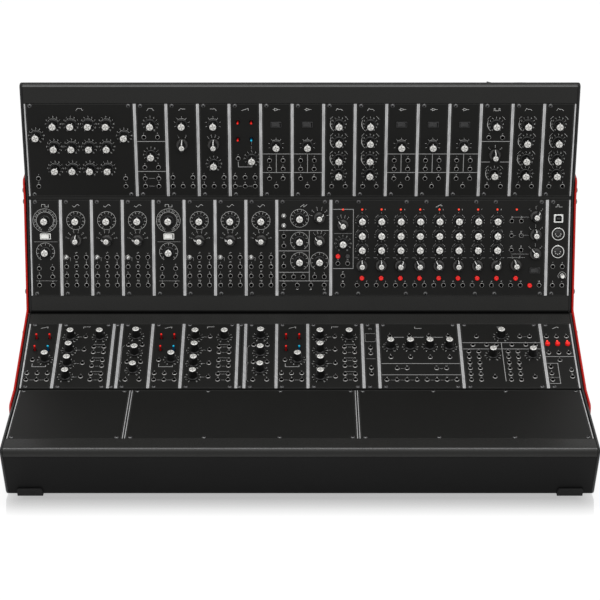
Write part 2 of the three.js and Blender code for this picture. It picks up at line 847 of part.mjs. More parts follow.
// A bank of neighbouring modules: their panels and boards in one solid, seams between the panels
function makeBank(row, name, startUnit, modules) {
  const cuts = [];
  const pieces = [];
  const left = -rowWidth / 2 + startUnit * unitWidth;
  let x = left;
  modules.forEach(({ layout, moving = {} }) => {
    const { units, ...kinds } = layoutShares[layout];
    const width = units * unitWidth;
    if (x > left) {
      const half = seamWidth / 2;
      cuts.push(block(x - half, x + half, -overrun, panelHeight + overrun, -seamDepth, overrun));
    }
    Object.entries(kinds).forEach(([kind, places]) => {
      places.forEach(([xShare, yShare], i) => {
        const at = [x + xShare * width, yShare * panelHeight];
        placeControl(row, kind, at, moving[kind]?.[i], cuts, pieces);
      });
    });
    x += width;
  });
  const gap = clearance / 2;
  const plate = block(left + gap, x - gap, 0, panelHeight, -panelThickness, 0);
  const reach = railLedge + clearance;
  const [bottom, top] = [-panelThickness - moduleDepth, -panelThickness / 2];
  const board = block(left + clearance, x - clearance, reach, panelHeight - reach, bottom, top);
  const isBlank = pieces.length + cuts.length === 0;
  const body = joined(isBlank ? [plate] : [plate, board, ...pieces]);
  const solid = cuts.length > 0 ? body.subtract(joined(cuts)) : body;
  row.add(part(name, fromSolid(solid), 'panel'));
}

function placeControl(row, kind, [x, y], name, cuts, pieces) {
  const control = controls[kind];
  if (!name) {
    if (control.fixed) pieces.push(control.fixed(x, y));
    else cuts.push(control.hole(x, y));
    return;
  }
  if (control.base) pieces.push(control.base(x, y));
  cuts.push(control.hole(x, y));
  const piece = part(name, control.moving(), name.startsWith('white') ? 'white' : control.material);
  piece.position.set(x, y, control.lift ?? 0);
  piece.rotation.y = radians(control.tilt ?? 0);
  row.add(piece);
}

// Each row's banks from left to right, with the controls that are pieces of their own
const rows = {
  upperBack: [
    {
      name: 'filter_bank_module',
      modules: [{ layout: 'filterBank', moving: { knobs: ['filter_bank_knob'] } }],
    },
    {
      name: 'filter_and_amplifier_modules',
      modules: [
        { layout: 'filters' },
        { layout: 'highPass', moving: { selectors: ['high_pass_selector'] } },
        { layout: 'lowPass', moving: { selectors: ['low_pass_selector'] } },
        {
          layout: 'controlVoltage',
          moving: { redLevers: ['red_toggle'], blueLevers: ['blue_toggle'] },
        },
        { layout: 'amplifier', moving: { rockers: ['amplifier_rocker'], knobs: ['amplifier_knob'] } },
        { layout: 'amplifier' },
        {
          layout: 'envelope',
          moving: { knobs: ['attack_knob', 'decay_knob', 'sustain_knob', 'release_knob'] },
        },
        { layout: 'envelope' },
        { layout: 'amplifier' },
        { layout: 'amplifier' },
        { layout: 'amplifier' },
        { layout: 'triggerDelay', moving: { selectors: ['delay_selector'] } },
        { layout: 'envelope' },
        { layout: 'envelope' },
      ],
    },
  ],
  upperFront: [
    {
      name: 'oscillator_modules',
      modules: [
        { layout: 'driver', moving: { knobs: ['driver_knob'], rockers: ['white_driver_rocker'] } },
        {
          layout: 'oscillator',
          moving: {
            knobs: ['oscillator_knob'],
            selectors: ['range_selector'],
            smallLevers: ['sync_toggle'],
          },
        },
        { layout: 'oscillator' },
        { layout: 'oscillator' },
        { layout: 'driver' },
        { layout: 'oscillator' },
        { layout: 'oscillator' },
        { layout: 'oscillator' },
        { layout: 'wideOscillator' },
      ],
    },
    {
      name: 'sequencer_module',
      modules: [{
        layout: 'sequencer',
        moving: {
          knobs: ['step_knob'],
          selectors: ['step_selector'],
          buttons: ['step_button'],
          rockers: ['sequencer_rocker'],
        },
      }],
    },
    { name: 'midi_module', modules: [{ layout: 'midi' }] },
  ],
  lowerBack: [
    {
      name: 'left_mixer_modules',
      modules: [
        { layout: 'controller', moving: { redLevers: ['controller_toggle'], knobs: ['controller_knob'] } },
        { layout: 'mixer', moving: { knobs: ['mixer_knob'] } },
        { layout: 'spacer' },
        { layout: 'attenuators', moving: { knobs: ['attenuator_knob'] } },
      ],
    },
    {
      name: 'middle_mixer_modules',
      modules: [
        { layout: 'controller' },
        { layout: 'mixer' },
        { layout: 'spacer' },
        { layout: 'attenuators' },
      ],
    },
    {
      name: 'right_mixer_modules',
      modules: [
        { layout: 'controller' },
        { layout: 'mixer' },
        { layout: 'multiple' },
        { layout: 'wideAttenuators' },
        { layout: 'matrixMixer', moving: { knobs: ['matrix_knob'] } },
        { layout: 'sequentialSwitch', moving: { buttons: ['switch_button'] } },
      ],
    },
  ],
  lowerFront: [
    { name: 'left_blank_panel', modules: [{ layout: 'plain' }] },
    { name: 'middle_blank_panel', modules: [{ layout: 'widePlain' }] },
    { name: 'right_blank_panel', modules: [{ layout: 'widePlain' }] },
  ],
};

function makeRow(caseGroup, origin, slope, banks) {
  const row = new THREE.Group();
  row.position.set(0, origin.x, origin.y);
  row.rotation.x = radians(slope);
  let unit = 0;
  banks.forEach(({ name, modules }) => {
    makeBank(row, name, unit, modules);
    unit += modules.reduce((total, { layout }) => total + layoutShares[layout].units, 0);
  });
  caseGroup.add(row);
}

// The rear wall's own frame: y up the wall, z out of its outer face
function rearWallFrame() {
  const middle = along(rearNose, rearWallHeading, noseTangent + lipLength + socketDrop);
  const turn = new THREE.Euler(radians(rearWallHeading), 0, Math.PI);
  return new THREE.Matrix4().makeRotationFromEuler(turn).setPosition(0, middle.x, middle.y);
}

// Folded shell with the power socket and the power rocker's frame on its rear wall
function shellSolid() {
  const wall = rearWallFrame();
  const end = cheekInner - clearance;
  const socketX = socketInset - end;
  const half = socketSide / 2;
  const rockerX = socketX + socketSpacing;
  const housings = joined([
    block(socketX - half, socketX + half, -half, half, -socketDepth - sheetThickness, socketRise),
    rockerFrame(rockerX, 0, powerRockerLength, powerRockerWidth),
  ]);
  const deep = socketRise - socketDepth;
  const bore = toSolid(post(socketBore, deep, socketRise + overrun, turnedSides, socketX));
  const pin = toSolid(post(socketPin, deep - overrun, socketRise / 2, smallSides, socketX));
  const pocket = toSolid(rockerPocket(rockerX, 0, powerRockerLength, powerRockerWidth));
  const onWall = (solid) => toSolid(fromSolid(solid).applyMatrix4(wall));
  const pan = toSolid(lengthwise(shellShape(), -end, end));
  return pan.add(onWall(housings)).subtract(onWall(bore.add(pocket))).add(onWall(pin));
}

function powerRocker(name) {
  const wall = new THREE.Group();
  wall.applyMatrix4(rearWallFrame());
  const rocker = part(name, closedSkin(rockerPaddle(powerRockerLength, powerRockerWidth)), 'black');
  rocker.position.x = socketInset - cheekInner + clearance + socketSpacing;
  rocker.rotation.y = radians(-rockerTravel / 2);
  wall.add(rocker);
  return wall;
}

// Power board on its standoffs over the case's bottom, with the bus headers and the supply
function powerBoard() {
  const floor = footHeight + sheetThickness + clearance;
  const halfLength = (boardLengthShare * rowWidth) / 2;
  const middle = (frontCorner.x + rearCorner.x) / 2;
  const [near, far] = [middle - boardWidth / 2, middle + boardWidth / 2];
  const top = floor + standoffHeight + boardThickness;
  const pieces = [block(-halfLength, halfLength, near, far, floor + standoffHeight, top)];
  const postInset = standoffRadius * 2;
  for (const x of [postInset - halfLength, halfLength - postInset]) {
    for (const y of [near + postInset, far - postInset]) {
      pieces.push(post(standoffRadius, floor, top - boardThickness / 2, smallSides, x, y));
    }
  }
  const headerPitch = (2 * halfLength - supplyLength) / headerCount;
  for (let i = 0; i < headerCount; i += 1) {
    const x = (i + 1 / 2) * headerPitch - halfLength;
    const start = x - headerLength / 2;
    const y = middle - headerWidth / 2;
    const height = top + headerHeight;
    pieces.push(block(start, start + headerLength, y, y + headerWidth, top - boardThickness / 2, height));
  }
  const inset = boardThickness;
  const supply = [halfLength - supplyLength + inset, halfLength - postInset, near + inset, far - inset];
  pieces.push(block(...supply, top - boardThickness / 2, top + supplyHeight));
  return fromSolid(joined(pieces));
}

function mirrored(geometry) {
  return closedSkin(geometry.clone().scale(-1, 1, 1));
}

function makeCase(side, frontBanks, backBanks) {
  const group = new THREE.Group();
  const end = cheekInner - clearance;
  group.add(part(`${side}_shell`, fromSolid(shellSolid()), 'sheet'));
  const frontBezel = roundedShape(bezelCorners(frontEdge, frontFaceHeading));
  const rearBezel = roundedShape(bezelCorners(rearEdge, rearWallHeading));
  group.add(part(`${side}_front_bezel`, closedSkin(lengthwise(frontBezel, -end, end)), 'bezel'));
  group.add(part(`${side}_rear_bezel`, closedSkin(lengthwise(rearBezel, -end, end)), 'bezel'));
  group.add(part(`${side}_center_rail`, closedSkin(lengthwise(centreRailShape(), -end, end)), 'rail'));
  const cheek = closedSkin(lengthwise(cheekShape(), cheekInner, cheekOuter));
  group.add(part(`${side}_right_cheek`, cheek, 'sheet'));
  group.add(part(`${side}_left_cheek`, mirrored(cheek), 'sheet'));
  group.add(part(`${side}_power_board`, powerBoard(), 'board'));
  group.add(powerRocker(`${side}_power_rocker`));
  makeRow(group, frontRow, frontSlope, frontBanks);
  makeRow(group, backRow, backSlope, backBanks);
  return group;
}

const lowerCase = makeCase('lower', rows.lowerFront, rows.lowerBack);
const upperCase = makeCase('upper', rows.upperFront, rows.upperBack);
upperCase.rotation.x = radians(upperTurn);
upperCase.position.set(0, upperShift.x, upperShift.y);

const synthesizer = new THREE.Group();
synthesizer.add(lowerCase, upperCase);
synthesizer.add(part('right_bracket', bracketSolid(1), 'bracket'));
synthesizer.add(part('left_bracket', bracketSolid(-1), 'bracket'));

const footOuter = cheekOuter - footInset;
const feet = {
  front: footShape(frontCorner, frontFaceHeading, 1),
  rear: footShape(rearCorner, rearWallHeading, -1),
};
Object.entries(feet).forEach(([place, shape]) => {
  const foot = closedSkin(lengthwise(shape, footOuter - footWidth, footOuter));
  synthesizer.add(part(`${place}_right_foot`, foot, 'rubber'));
  synthesizer.add(part(`${place}_left_foot`, mirrored(foot), 'rubber'));
});

// The origin is the middle of the box's bottom face
synthesizer.updateMatrixWorld(true);
const box = new THREE.Box3().setFromObject(synthesizer, true);
synthesizer.position.set(-(box.min.x + box.max.x) / 2, -(box.min.y + box.max.y) / 2, -box.min.z);

export default synthesizer;
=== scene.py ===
from math import degrees, pi, radians

import bpy
import numpy as np
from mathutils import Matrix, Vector
from mathutils.geometry import tessellate_polygon


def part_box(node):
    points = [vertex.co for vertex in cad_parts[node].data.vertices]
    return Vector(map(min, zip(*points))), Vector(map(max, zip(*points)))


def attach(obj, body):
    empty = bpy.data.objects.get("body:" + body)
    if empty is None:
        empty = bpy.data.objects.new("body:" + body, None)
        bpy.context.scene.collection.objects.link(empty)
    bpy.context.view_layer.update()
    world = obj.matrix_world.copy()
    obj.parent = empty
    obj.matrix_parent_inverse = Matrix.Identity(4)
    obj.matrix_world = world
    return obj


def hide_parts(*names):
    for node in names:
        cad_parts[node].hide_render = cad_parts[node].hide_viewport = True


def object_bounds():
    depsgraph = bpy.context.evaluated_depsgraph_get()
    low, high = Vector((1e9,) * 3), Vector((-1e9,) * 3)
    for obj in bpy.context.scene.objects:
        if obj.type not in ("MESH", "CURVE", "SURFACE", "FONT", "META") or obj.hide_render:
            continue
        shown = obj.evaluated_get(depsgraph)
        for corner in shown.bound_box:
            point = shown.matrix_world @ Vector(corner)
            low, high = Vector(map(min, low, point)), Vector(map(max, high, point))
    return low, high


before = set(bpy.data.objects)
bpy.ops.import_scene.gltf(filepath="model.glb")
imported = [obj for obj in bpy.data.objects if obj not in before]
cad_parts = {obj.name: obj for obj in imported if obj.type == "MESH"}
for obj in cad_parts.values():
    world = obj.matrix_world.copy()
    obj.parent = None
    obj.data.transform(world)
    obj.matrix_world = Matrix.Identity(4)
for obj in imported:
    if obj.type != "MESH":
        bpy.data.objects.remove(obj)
cadBounds = [list(corner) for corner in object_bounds()]
metre = 0.001  # everything below is worked out in millimetres
print("frame loaded:", len(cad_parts), "nodes")

# Skins: closed surfaces as arrays, joined into pieces at the end
finishNames = []


def finishNumber(name):  # the place of a finish in the list that all skins share
    if name not in finishNames:
        finishNames.append(name)
    return finishNames.index(name)


# Points, faces as runs of corner numbers with their sizes, a finish per face, a tone per point
def skin(points, corners, sizes, finish, tone=0.0):
    points = np.asarray(points, float)
    numbers = [finishNumber(name) for name in np.atleast_1d(finish)]
    return {
        "points": points,
        "corners": np.asarray(corners, int),
        "sizes": np.asarray(sizes, int),
        "finish": np.broadcast_to(numbers, len(sizes)) if len(numbers) == 1 else np.array(numbers),
        "tone": np.broadcast_to(tone, len(points)),
    }


# One skin from several: arrays end to end, corner numbers raised by the points before them
def joined(skins):
    starts = np.cumsum([0] + [len(each["points"]) for each in skins[:-1]])
    keys = ("points", "sizes", "finish", "tone")
    whole = {key: np.concatenate([each[key] for each in skins]) for key in keys}
    whole["corners"] = np.concatenate([each["corners"] + start for each, start in zip(skins, starts)])
    return whole


# The skin at each place (x, y), turned clockwise about its upright axis: x' = x cos a + y sin a
def repeated(shape, places, turns=0.0):
    places = np.atleast_2d(np.asarray(places, float))
    count = len(places)
    angle = np.radians(np.broadcast_to(turns, count))[:, None]
    x, y, z = shape["points"].T
    points = np.stack([
        places[:, :1] + x * np.cos(angle) + y * np.sin(angle),
        places[:, 1:] - x * np.sin(angle) + y * np.cos(angle),
        np.broadcast_to(z, (count, len(z))),
    ], axis=-1).reshape(-1, 3)
    steps = len(z) * np.arange(count)[:, None]
    return {
        "points": points,
        "corners": (shape["corners"] + steps).ravel(),
        "sizes": np.tile(shape["sizes"], count),
        "finish": np.tile(shape["finish"], count),
        "tone": np.tile(shape["tone"], count),
    }


# The skin turned about its own y axis: x' = x cos a + z sin a, z' = z cos a - x sin a
def tilted(shape, angle):
    x, y, z = shape["points"].T
    c, s = np.cos(radians(angle)), np.sin(radians(angle))
    return {**shape, "points": np.stack([x * c + z * s, y, z * c - x * s], axis=-1)}


# Four corner numbers for each patch between neighbouring rings of a grid, all facing outwards
def ringFaces(rings, sides):
    across = np.arange(sides)
    along = np.arange(rings - 1)[:, None] * sides
    here, beside = along + across, along + (across + 1) % sides
    return np.stack([here, beside, beside + sides, here + sides], axis=-1).reshape(-1, 4)


# A profile of (radius, height) that starts and ends on the axis: (r cos a, r sin a, h), and each ring's tone
# is the tone plus a painted glint that sways as cos (4a - 1)
def lathe(profile, sides, finish, swirl=0.0, tone=0.5):
    profile = np.asarray(profile, float)
    angle = 2 * pi * (np.arange(sides) + 0.5) / sides
    rings = profile[1:-1]
    x = rings[:, :1] * np.cos(angle)
    y = rings[:, :1] * np.sin(angle)
    z = np.broadcast_to(rings[:, 1:], x.shape)
    body = np.stack([x, y, z], -1).reshape(-1, 3)
    points = np.vstack([[0, 0, profile[0, 1]], body, [0, 0, profile[-1, 1]]])
    side = np.arange(sides)
    beside = (side + 1) % sides
    last = 1 + (len(rings) - 1) * sides
    foot = np.stack([0 * side, 1 + beside, 1 + side], -1).ravel()
    head = np.stack([last + side, last + beside, 0 * side + len(points) - 1], -1).ravel()
    walls = 1 + ringFaces(len(rings), sides)
    corners = np.concatenate([foot, walls.ravel(), head])
    sizes = np.concatenate([np.full(sides, 3), np.full(len(walls), 4), np.full(sides, 3)])
    names = np.repeat(np.broadcast_to(finish, len(profile) - 1), sides)
    base, sway = (np.broadcast_to(value, len(profile)).astype(float) for value in (tone, swirl))
    ringTones = base[1:-1, None] + sway[1:-1, None] * np.cos(4 * angle - 1)
    tones = np.concatenate([base[:1], ringTones.ravel(), base[-1:]])
    return skin(points, corners, sizes, names, tones)


# Rings of the same number of points, joined by patches and closed by a flat face at each end
def loft(rings, finish):
    rings = np.asarray(rings, float)
    count, sides = rings.shape[:2]
    walls = ringFaces(count, sides)
    ends = [np.arange(sides)[::-1], (count - 1) * sides + np.arange(sides)]
    corners = np.concatenate([walls.ravel(), *ends])
    sizes = np.concatenate([np.full(len(walls), 4), [sides, sides]])
    return skin(rings.reshape(-1, 3), corners, sizes, finish)


# Each point of a closed outline moved inwards along its mitre: the sum of both edge normals over
# one plus their product
def inset(outline, distance):
    edges = np.roll(outline, -1, axis=0) - outline
    normals = np.stack([-edges[:, 1], edges[:, 0]], -1) / np.linalg.norm(edges, axis=1)[:, None]
    before = np.roll(normals, 1, axis=0)
    mitre = (normals + before) / (1 + (normals * before).sum(1))[:, None]
    return outline + distance * mitre


# An outline lofted upwards through (inset, height) levels
def tower(outline, levels, finish):
    rings = []
    for back, height in levels:
        rings.append(np.column_stack([inset(outline, back), np.full(len(outline), height)]))
    names = np.atleast_1d(finish)
    if len(names) > 1:  # one for each band, then the foot and the top
        bands, ends = np.repeat(names[:-2], len(outline)), names[-2:]
        names = np.concatenate([bands, ends])
    return loft(rings, names)


def atX(x, section):  # a section in depth and height, at one place along x
    return np.column_stack([np.full(len(section), x), section])


# Shares t of the way over a rounded edge, and how far it stands back there: 1 - sqrt(1 - (1 - t)^2)
def roundEdge(steps):
    share = np.arange(steps + 1) / steps
    return share, 1 - np.sqrt(1 - (1 - share) ** 2)


# A section in depth and height carried along x, both ends rounded by the bevels' sizes
def carried(outline, fromX, toX, bevels, finish, steps=2):
    share, back = roundEdge(steps)
    stations = [(fromX + bevels[0] * t, bevels[0] * b) for t, b in zip(share, back)]
    stations += [(toX - bevels[1] * t, bevels[1] * b) for t, b in zip(share[::-1], back[::-1])]
    rings = [atX(x, inset(outline, b)) for x, b in stations]
    if not isinstance(finish, str):  # one finish for each side of the outline, the first for the ends
        finish = np.concatenate([np.tile(finish, len(stations) - 1), finish[:1], finish[:1]])
    return loft(rings, finish)


# A flat bar whose middle follows the path, half its width to each side along the mitre
def ribbon(path, width, finish, height, closed, base):
    path = np.asarray(path, float)
    steps = np.diff(np.vstack([path, path[:1]]) if closed else path, axis=0)
    normals = np.stack([-steps[:, 1], steps[:, 0]], -1) / np.linalg.norm(steps, axis=1)[:, None]
    if closed:
        before = np.roll(normals, 1, axis=0)
    else:
        normals, before = np.vstack([normals, normals[-1:]]), np.vstack([normals[:1], normals])
    mitre = (normals + before) / (1 + (normals * before).sum(1))[:, None] * width / 2
    rings = np.stack([
        np.column_stack([path + side * mitre, np.full(len(path), level)])
        for side, level in ((-1, base), (1, base), (1, base + height), (-1, base + height))
    ], axis=1)
    if not closed:
        return loft(rings, finish)
    walls = ringFaces(len(path) + 1, 4) % (4 * len(path))
    return skin(rings.reshape(-1, 3), walls.ravel(), np.full(len(walls), 4), finish)


def circle(radius, sides):  # a ring of points, anticlockwise
    angle = 2 * pi * (np.arange(sides) + 0.5) / sides
    return radius * np.stack([np.cos(angle), np.sin(angle)], -1)


# A rectangle about a centre, anticlockwise, its corners arcs of the radius
def rectangle(width, height, radius=0.0, steps=3, centre=(0, 0)):
    ways = [(1, -1), (1, 1), (-1, 1), (-1, -1)]
    if radius == 0:
        return np.array(ways) * [width / 2, height / 2] + centre
    turn = np.radians(90 * np.arange(steps + 1) / steps)
    arc = radius * np.stack([np.sin(turn), -np.cos(turn)], -1)
    quarter = np.array([[0, -1], [1, 0]])
    parts = []
    for number, (sx, sy) in enumerate(ways):
        middle = [sx * (width / 2 - radius), sy * (height / 2 - radius)]
        parts.append(middle + arc @ np.linalg.matrix_power(quarter, number).T)
    return np.vstack(parts) + centre


# A flat plate with its face at height 0 and holes straight through: its face and its back share
# one triangulation, and walls join their loops
def plate(width, height, thickness, bevel, holes, finish):
    outer = rectangle(width, height, centre=(width / 2, height / 2))
    loops = [inset(outer, bevel)] + list(holes)
    backLoops = [outer] + list(holes)
    flat = np.vstack(loops)
    triangles = np.array(tessellate_polygon([[Vector((x, y, 0)) for x, y in loop] for loop in loops]))
    a, b, c = flat[triangles[:, 0]], flat[triangles[:, 1]], flat[triangles[:, 2]]
    turn = (b[:, 0] - a[:, 0]) * (c[:, 1] - a[:, 1]) - (b[:, 1] - a[:, 1]) * (c[:, 0] - a[:, 0])
    triangles = np.where(turn[:, None] < 0, triangles[:, ::-1], triangles)
    count = len(flat)
    points = np.vstack([
        np.column_stack([flat, np.zeros(count)]),
        np.column_stack([np.vstack(backLoops), np.full(count, -thickness)]),
        np.column_stack([outer, np.full(4, -bevel)]),
    ])
    edge, next4 = np.arange(4), (np.arange(4) + 1) % 4
    shoulder = 2 * count
    walls = [
        np.stack([shoulder + edge, shoulder + next4, next4, edge], -1),
        np.stack([count + edge, count + next4, shoulder + next4, shoulder + edge], -1),
    ]
    start = 4
    for hole in holes:
        side = start + np.arange(len(hole))
        beside = start + (np.arange(len(hole)) + 1) % len(hole)
        walls.append(np.stack([side, beside, count + beside, count + side], -1))
        start += len(hole)
    walls = np.vstack(walls)
    corners = np.concatenate([triangles.ravel(), (count + triangles[:, ::-1]).ravel(), walls.ravel()])
    sizes = np.concatenate([np.full(2 * len(triangles), 3), np.full(len(walls), 4)])
    return skin(points, corners, sizes, finish)


# Case section, in millimetres and degrees: depth from the front nose, height above the table
case = {
    "unitWidth": 5.08, "rowUnits": 140, "panelHeight": 128.5, "panelThickness": 2.0, "rowGap": 4.5,
    "frontSlope": 6.4, "kneeBend": 14.5, "noseAngle": 68.0, "upperTurn": 76.0, "noseRadius": 5.5,
    "bezelFlat": 21.0, "bezelWall": 2.5, "lipLength": 4.5, "railLedge": 8.0, "railThickness": 6.0,
    "railShoulder": 3.0, "frontFaceLength": 83.7, "sheetBend": 4.0, "cheekThickness": 3.6,
    "cheekGap": 1.0, "noseContactAngle": 26.0, "caseGap": 0.7, "clearance": 0.3, "footHeight": 2.6,
    # crease values: where the painted shade starts on the noses in the crease, and how wide the strip of
    # painted shade beside them is
    "noseSteps": 14, "noseLean": 14, "frontGloss": 46, "rearGloss": 50, "creaseLean": 2,
    "paintedShadeStrip": 1.5, "cheekRound": 3.0, "endBevel": 0.2, "trimRound": 0.4, "trimInnerRound": 0.3,
}
rowWidth = case["unitWidth"] * case["rowUnits"]
cheekInner = rowWidth / 2 + case["cheekGap"]
cheekOuter = cheekInner + case["cheekThickness"]
backSlope = case["frontSlope"] + case["kneeBend"]
halfNose = radians(case["noseAngle"]) / 2
noseTangent = case["noseRadius"] / np.tan(halfNose)
noseCentre = case["noseRadius"] / np.sin(halfNose)
bezelReach = case["bezelFlat"] + noseTangent


def heading(angle):
    return np.array([np.cos(radians(angle)), np.sin(radians(angle))])


def along(point, angle, distance):
    return np.asarray(point, float) + distance * heading(angle)


def fromRow(origin, slope, distance, out):  # up the panel from its front edge, and out of its face
    return along(along(origin, slope, distance), slope + 90, out)


frontHeading = case["frontSlope"] - case["noseAngle"]
noseLead = heading(case["frontSlope"] - case["noseAngle"] / 2)[0] * noseCentre - case["noseRadius"]
frontNose = np.array([-noseLead, case["footHeight"] - heading(frontHeading)[1] * case["frontFaceLength"]])
frontRow = along(frontNose, case["frontSlope"], bezelReach)
knee = along(frontRow, case["frontSlope"], case["panelHeight"] + case["rowGap"] / 2)
backRow = along(knee, backSlope, case["rowGap"] / 2)
rearNose = along(backRow, backSlope, case["panelHeight"] + bezelReach)
rearHeading = backSlope + case["noseAngle"] - 180
frontCorner = along(frontNose, frontHeading, case["frontFaceLength"])
rearCorner = along(rearNose, rearHeading, (case["footHeight"] - rearNose[1]) / heading(rearHeading)[1])
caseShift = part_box("left_blank_panel")[0].y / metre - frontRow[0]  # the frame's own middle


def turnedBy(point, angle):  # about the section's origin
    x, y = np.asarray(point, float).T
    c, s = np.cos(radians(angle)), np.sin(radians(angle))
    return np.stack([x * c - y * s, x * s + y * c], -1)


frontNoseCentre = along(frontNose, case["frontSlope"] - case["noseAngle"] / 2, noseCentre)
rearNoseCentre = along(rearNose, backSlope + case["noseAngle"] / 2 - 180, noseCentre)
meeting = along(rearNoseCentre, case["noseContactAngle"], 2 * case["noseRadius"] + case["caseGap"])
upperShift = meeting - turnedBy(frontNoseCentre, case["upperTurn"])


def raised(point):  # from the lower case's section to the upper one's
    return turnedBy(point, case["upperTurn"]) + upperShift


# A polygon whose corners are arcs: each arc's middle lies on the corner's bisector
def rounded(corners, radii, steps):
    corners = np.asarray(corners, float)
    points = []
    for number, (corner, radius) in enumerate(zip(corners, radii)):
        if radius == 0:
            points.append(corner[None])
            continue
        before = corners[number - 1] - corner
        after = corners[(number + 1) % len(corners)] - corner
        before, after = before / np.linalg.norm(before), after / np.linalg.norm(after)
        half = np.arccos(before @ after) / 2
        bisector = (before + after) / np.linalg.norm(before + after)
        middle = corner + bisector * radius / np.sin(half)
        start = corner + before * radius / np.tan(half) - middle
        way = np.sign(before[0] * after[1] - before[1] * after[0])
        sweep = -(180 - 2 * degrees(half)) * way * np.arange(steps + 1) / steps
        points.append(middle + np.stack([turnedBy(start, angle) for angle in sweep]))
    outline = np.vstack(points)
    ahead = np.roll(outline, -1, axis=0)
    area = (outline[:, 0] * ahead[:, 1] - outline[:, 1] * ahead[:, 0]).sum()
    return outline if area > 0 else outline[::-1]


# Section coordinates (x, depth, height) to the frame, in metres
def inPlace(shape, upper=False):
    x, section = shape["points"][:, :1], shape["points"][:, 1:]
    section = raised(section) if upper else section
    return {**shape, "points": np.hstack([x, section + [caseShift, 0]]) * metre}


rows = {
    "lowerFront": (frontRow, case["frontSlope"]),
    "lowerBack": (backRow, backSlope),
    "upperFront": (raised(frontRow), case["frontSlope"] + case["upperTurn"]),
    "upperBack": (raised(backRow), backSlope + case["upperTurn"]),
}


# Panel coordinates (x, up the panel, out of it) to the frame, in metres
def onPanel(shape, row):
    origin, slope = rows[row]
    up, out = heading(slope), heading(slope + 90)
    x, y, z = shape["points"].T
    section = origin + [caseShift, 0] + y[:, None] * up + z[:, None] * out
    return {**shape, "points": np.column_stack([x, section]) * metre}


# Finishes: a colour in soft patches, a fine grain in roughness and bump, all from Object coordinates
def srgb(levels):  # a grey level, or red, green and blue, from 0 to 255
    value = np.broadcast_to(levels, 3) / 255
    return tuple(np.where(value <= 0.04045, value / 12.92, ((value + 0.055) / 1.055) ** 2.4))


# Colour, colour of the patches, roughness, specular, grain, bump, and where they are used metal and glow
finishValues = {
    "caseCoat": (16, 19, 0.5, 0.06, 1100, 0.12),
    "bezelCoat": ((35, 35, 34), (39, 39, 38), 0.3, 0.08, 1300, 0.08),
    "noseCoat": ((30, 30, 29), (34, 34, 33), 0.28, 0.5, 1300, 0.08),
    # painted shade for the crease between the cases: near black on the noses, and a darker strip on the band
    # beside them
    "paintedCreaseShade": (5, 7, 0.6, 0.02, 1300, 0.08),
    "paintedShadeStrip": (17, (20, 20, 19), 0.5, 0.03, 1300, 0.08),
    "cheekCoat": (17, 21, 0.42, 0.2, 1100, 0.1),
    "redCoat": ((172, 18, 6), (158, 14, 4), 0.4, 0.2, 1200, 0.1),
    "panelCoat": ((20, 20, 19), (23, 23, 22), 0.5, 0.09, 1700, 0.08),
    "rubber": (20, 26, 0.8, 0.2, 900, 0.3),
    "ink": ((190, 190, 188), (174, 174, 172), 0.6, 0.2, 3000, 0.05),
    "lineInk": ((156, 156, 155), (142, 142, 141), 0.6, 0.2, 3000, 0.05),
    "knobPlastic": (13, 18, 0.34, 0.3, 2500, 0.05),
    "pointerPaint": ((235, 235, 232), (222, 222, 220), 0.5, 0.3, 3000, 0.03),
    "holeBlack": (4, 6, 0.8, 0.05, 2000, 0.05),
    "whitePlastic": ((232, 232, 228), (222, 222, 218), 0.35, 0.5, 2500, 0.03),
    "blackPlastic": (30, 36, 0.4, 0.4, 2500, 0.06),
    "redPlastic": ((234, 28, 22), (222, 22, 18), 0.32, 0.3, 2500, 0.03),
    "lampRed": ((250, 70, 44), (242, 60, 38), 0.25, 0.4, 2500, 0.02, 0.0, 0.35),
    "smokePlastic": ((29, 27, 25), (22, 21, 20), 0.26, 0.45, 2500, 0.03),
    # painted edge light: a faint lighter line that stands in for the light caught along the panels' edges
    "paintedEdgeLight": ((62, 62, 61), (54, 54, 53), 0.6, 0.15, 3000, 0.03),
    "blackScrew": (82, 60, 0.26, 0.5, 2200, 0.06, 0.5),
    "boardGreen": ((28, 84, 46), (24, 72, 40), 0.45, 0.4, 1500, 0.05),
}
fineStreaks = (1500, 1500, 1500)
metalValues = {
    "edgeMetal": {"colour": 204, "dark": (122, 122, 123), "roughness": 0.42, "streaks": (480, 40, 60),
                  "metallic": 0.3, "turn": 38},
    # the caps' colour and its dark side make painted glints, as the tone says
    "spunCapPaintedGlints": {"colour": (230, 229, 225), "dark": (84, 83, 80), "roughness": 0.36, "streaks": fineStreaks,
                "metallic": 0.2, "swirl": 0.95},
    "nickel": {"colour": (188, 187, 185), "dark": (146, 145, 143), "roughness": 0.34,
               "streaks": fineStreaks, "metallic": 0.6},
    "brightNickel": {"colour": (226, 226, 224), "dark": (190, 190, 188), "roughness": 0.25,
                     "streaks": fineStreaks, "metallic": 0.6},
    "railBlack": {"colour": (40, 40, 39), "dark": (31, 31, 30), "roughness": 0.5,
                  "streaks": (25, 1600, 1600), "metallic": 0.2, "specular": 0.1},
}
leverValues = {
    "redLeverTone": {"tip": (236, 34, 22), "foot": (122, 6, 10), "roughness": 0.35},
    "blueLeverTone": {"tip": (0, 176, 214), "foot": (0, 56, 92), "roughness": 0.35},
}
finishes = {}
grainValues = {
    "patchScale": 14.0, "coatSpread": 0.06, "metalSpread": 0.08, "metalBump": 0.06, "leverGrain": 2500,
    "leverBump": 0.03, "leverSpecular": 0.2, "bumpDistance": 0.0002, "fineDetail": 2.0,
    "noiseRange": (0.3, 0.7),
}


def startFinish(name, roughness, specular, metallic=0.0):  # gives the tree and the shader of a finish
    material = bpy.data.materials.new(name)
    material.use_nodes = True
    shader = material.node_tree.nodes["Principled BSDF"]
    shader.inputs["Specular IOR Level"].default_value = specular
    shader.inputs["Metallic"].default_value = metallic
    shader.inputs["Roughness"].default_value = roughness
    finishes[name] = material
    return material.node_tree, shader


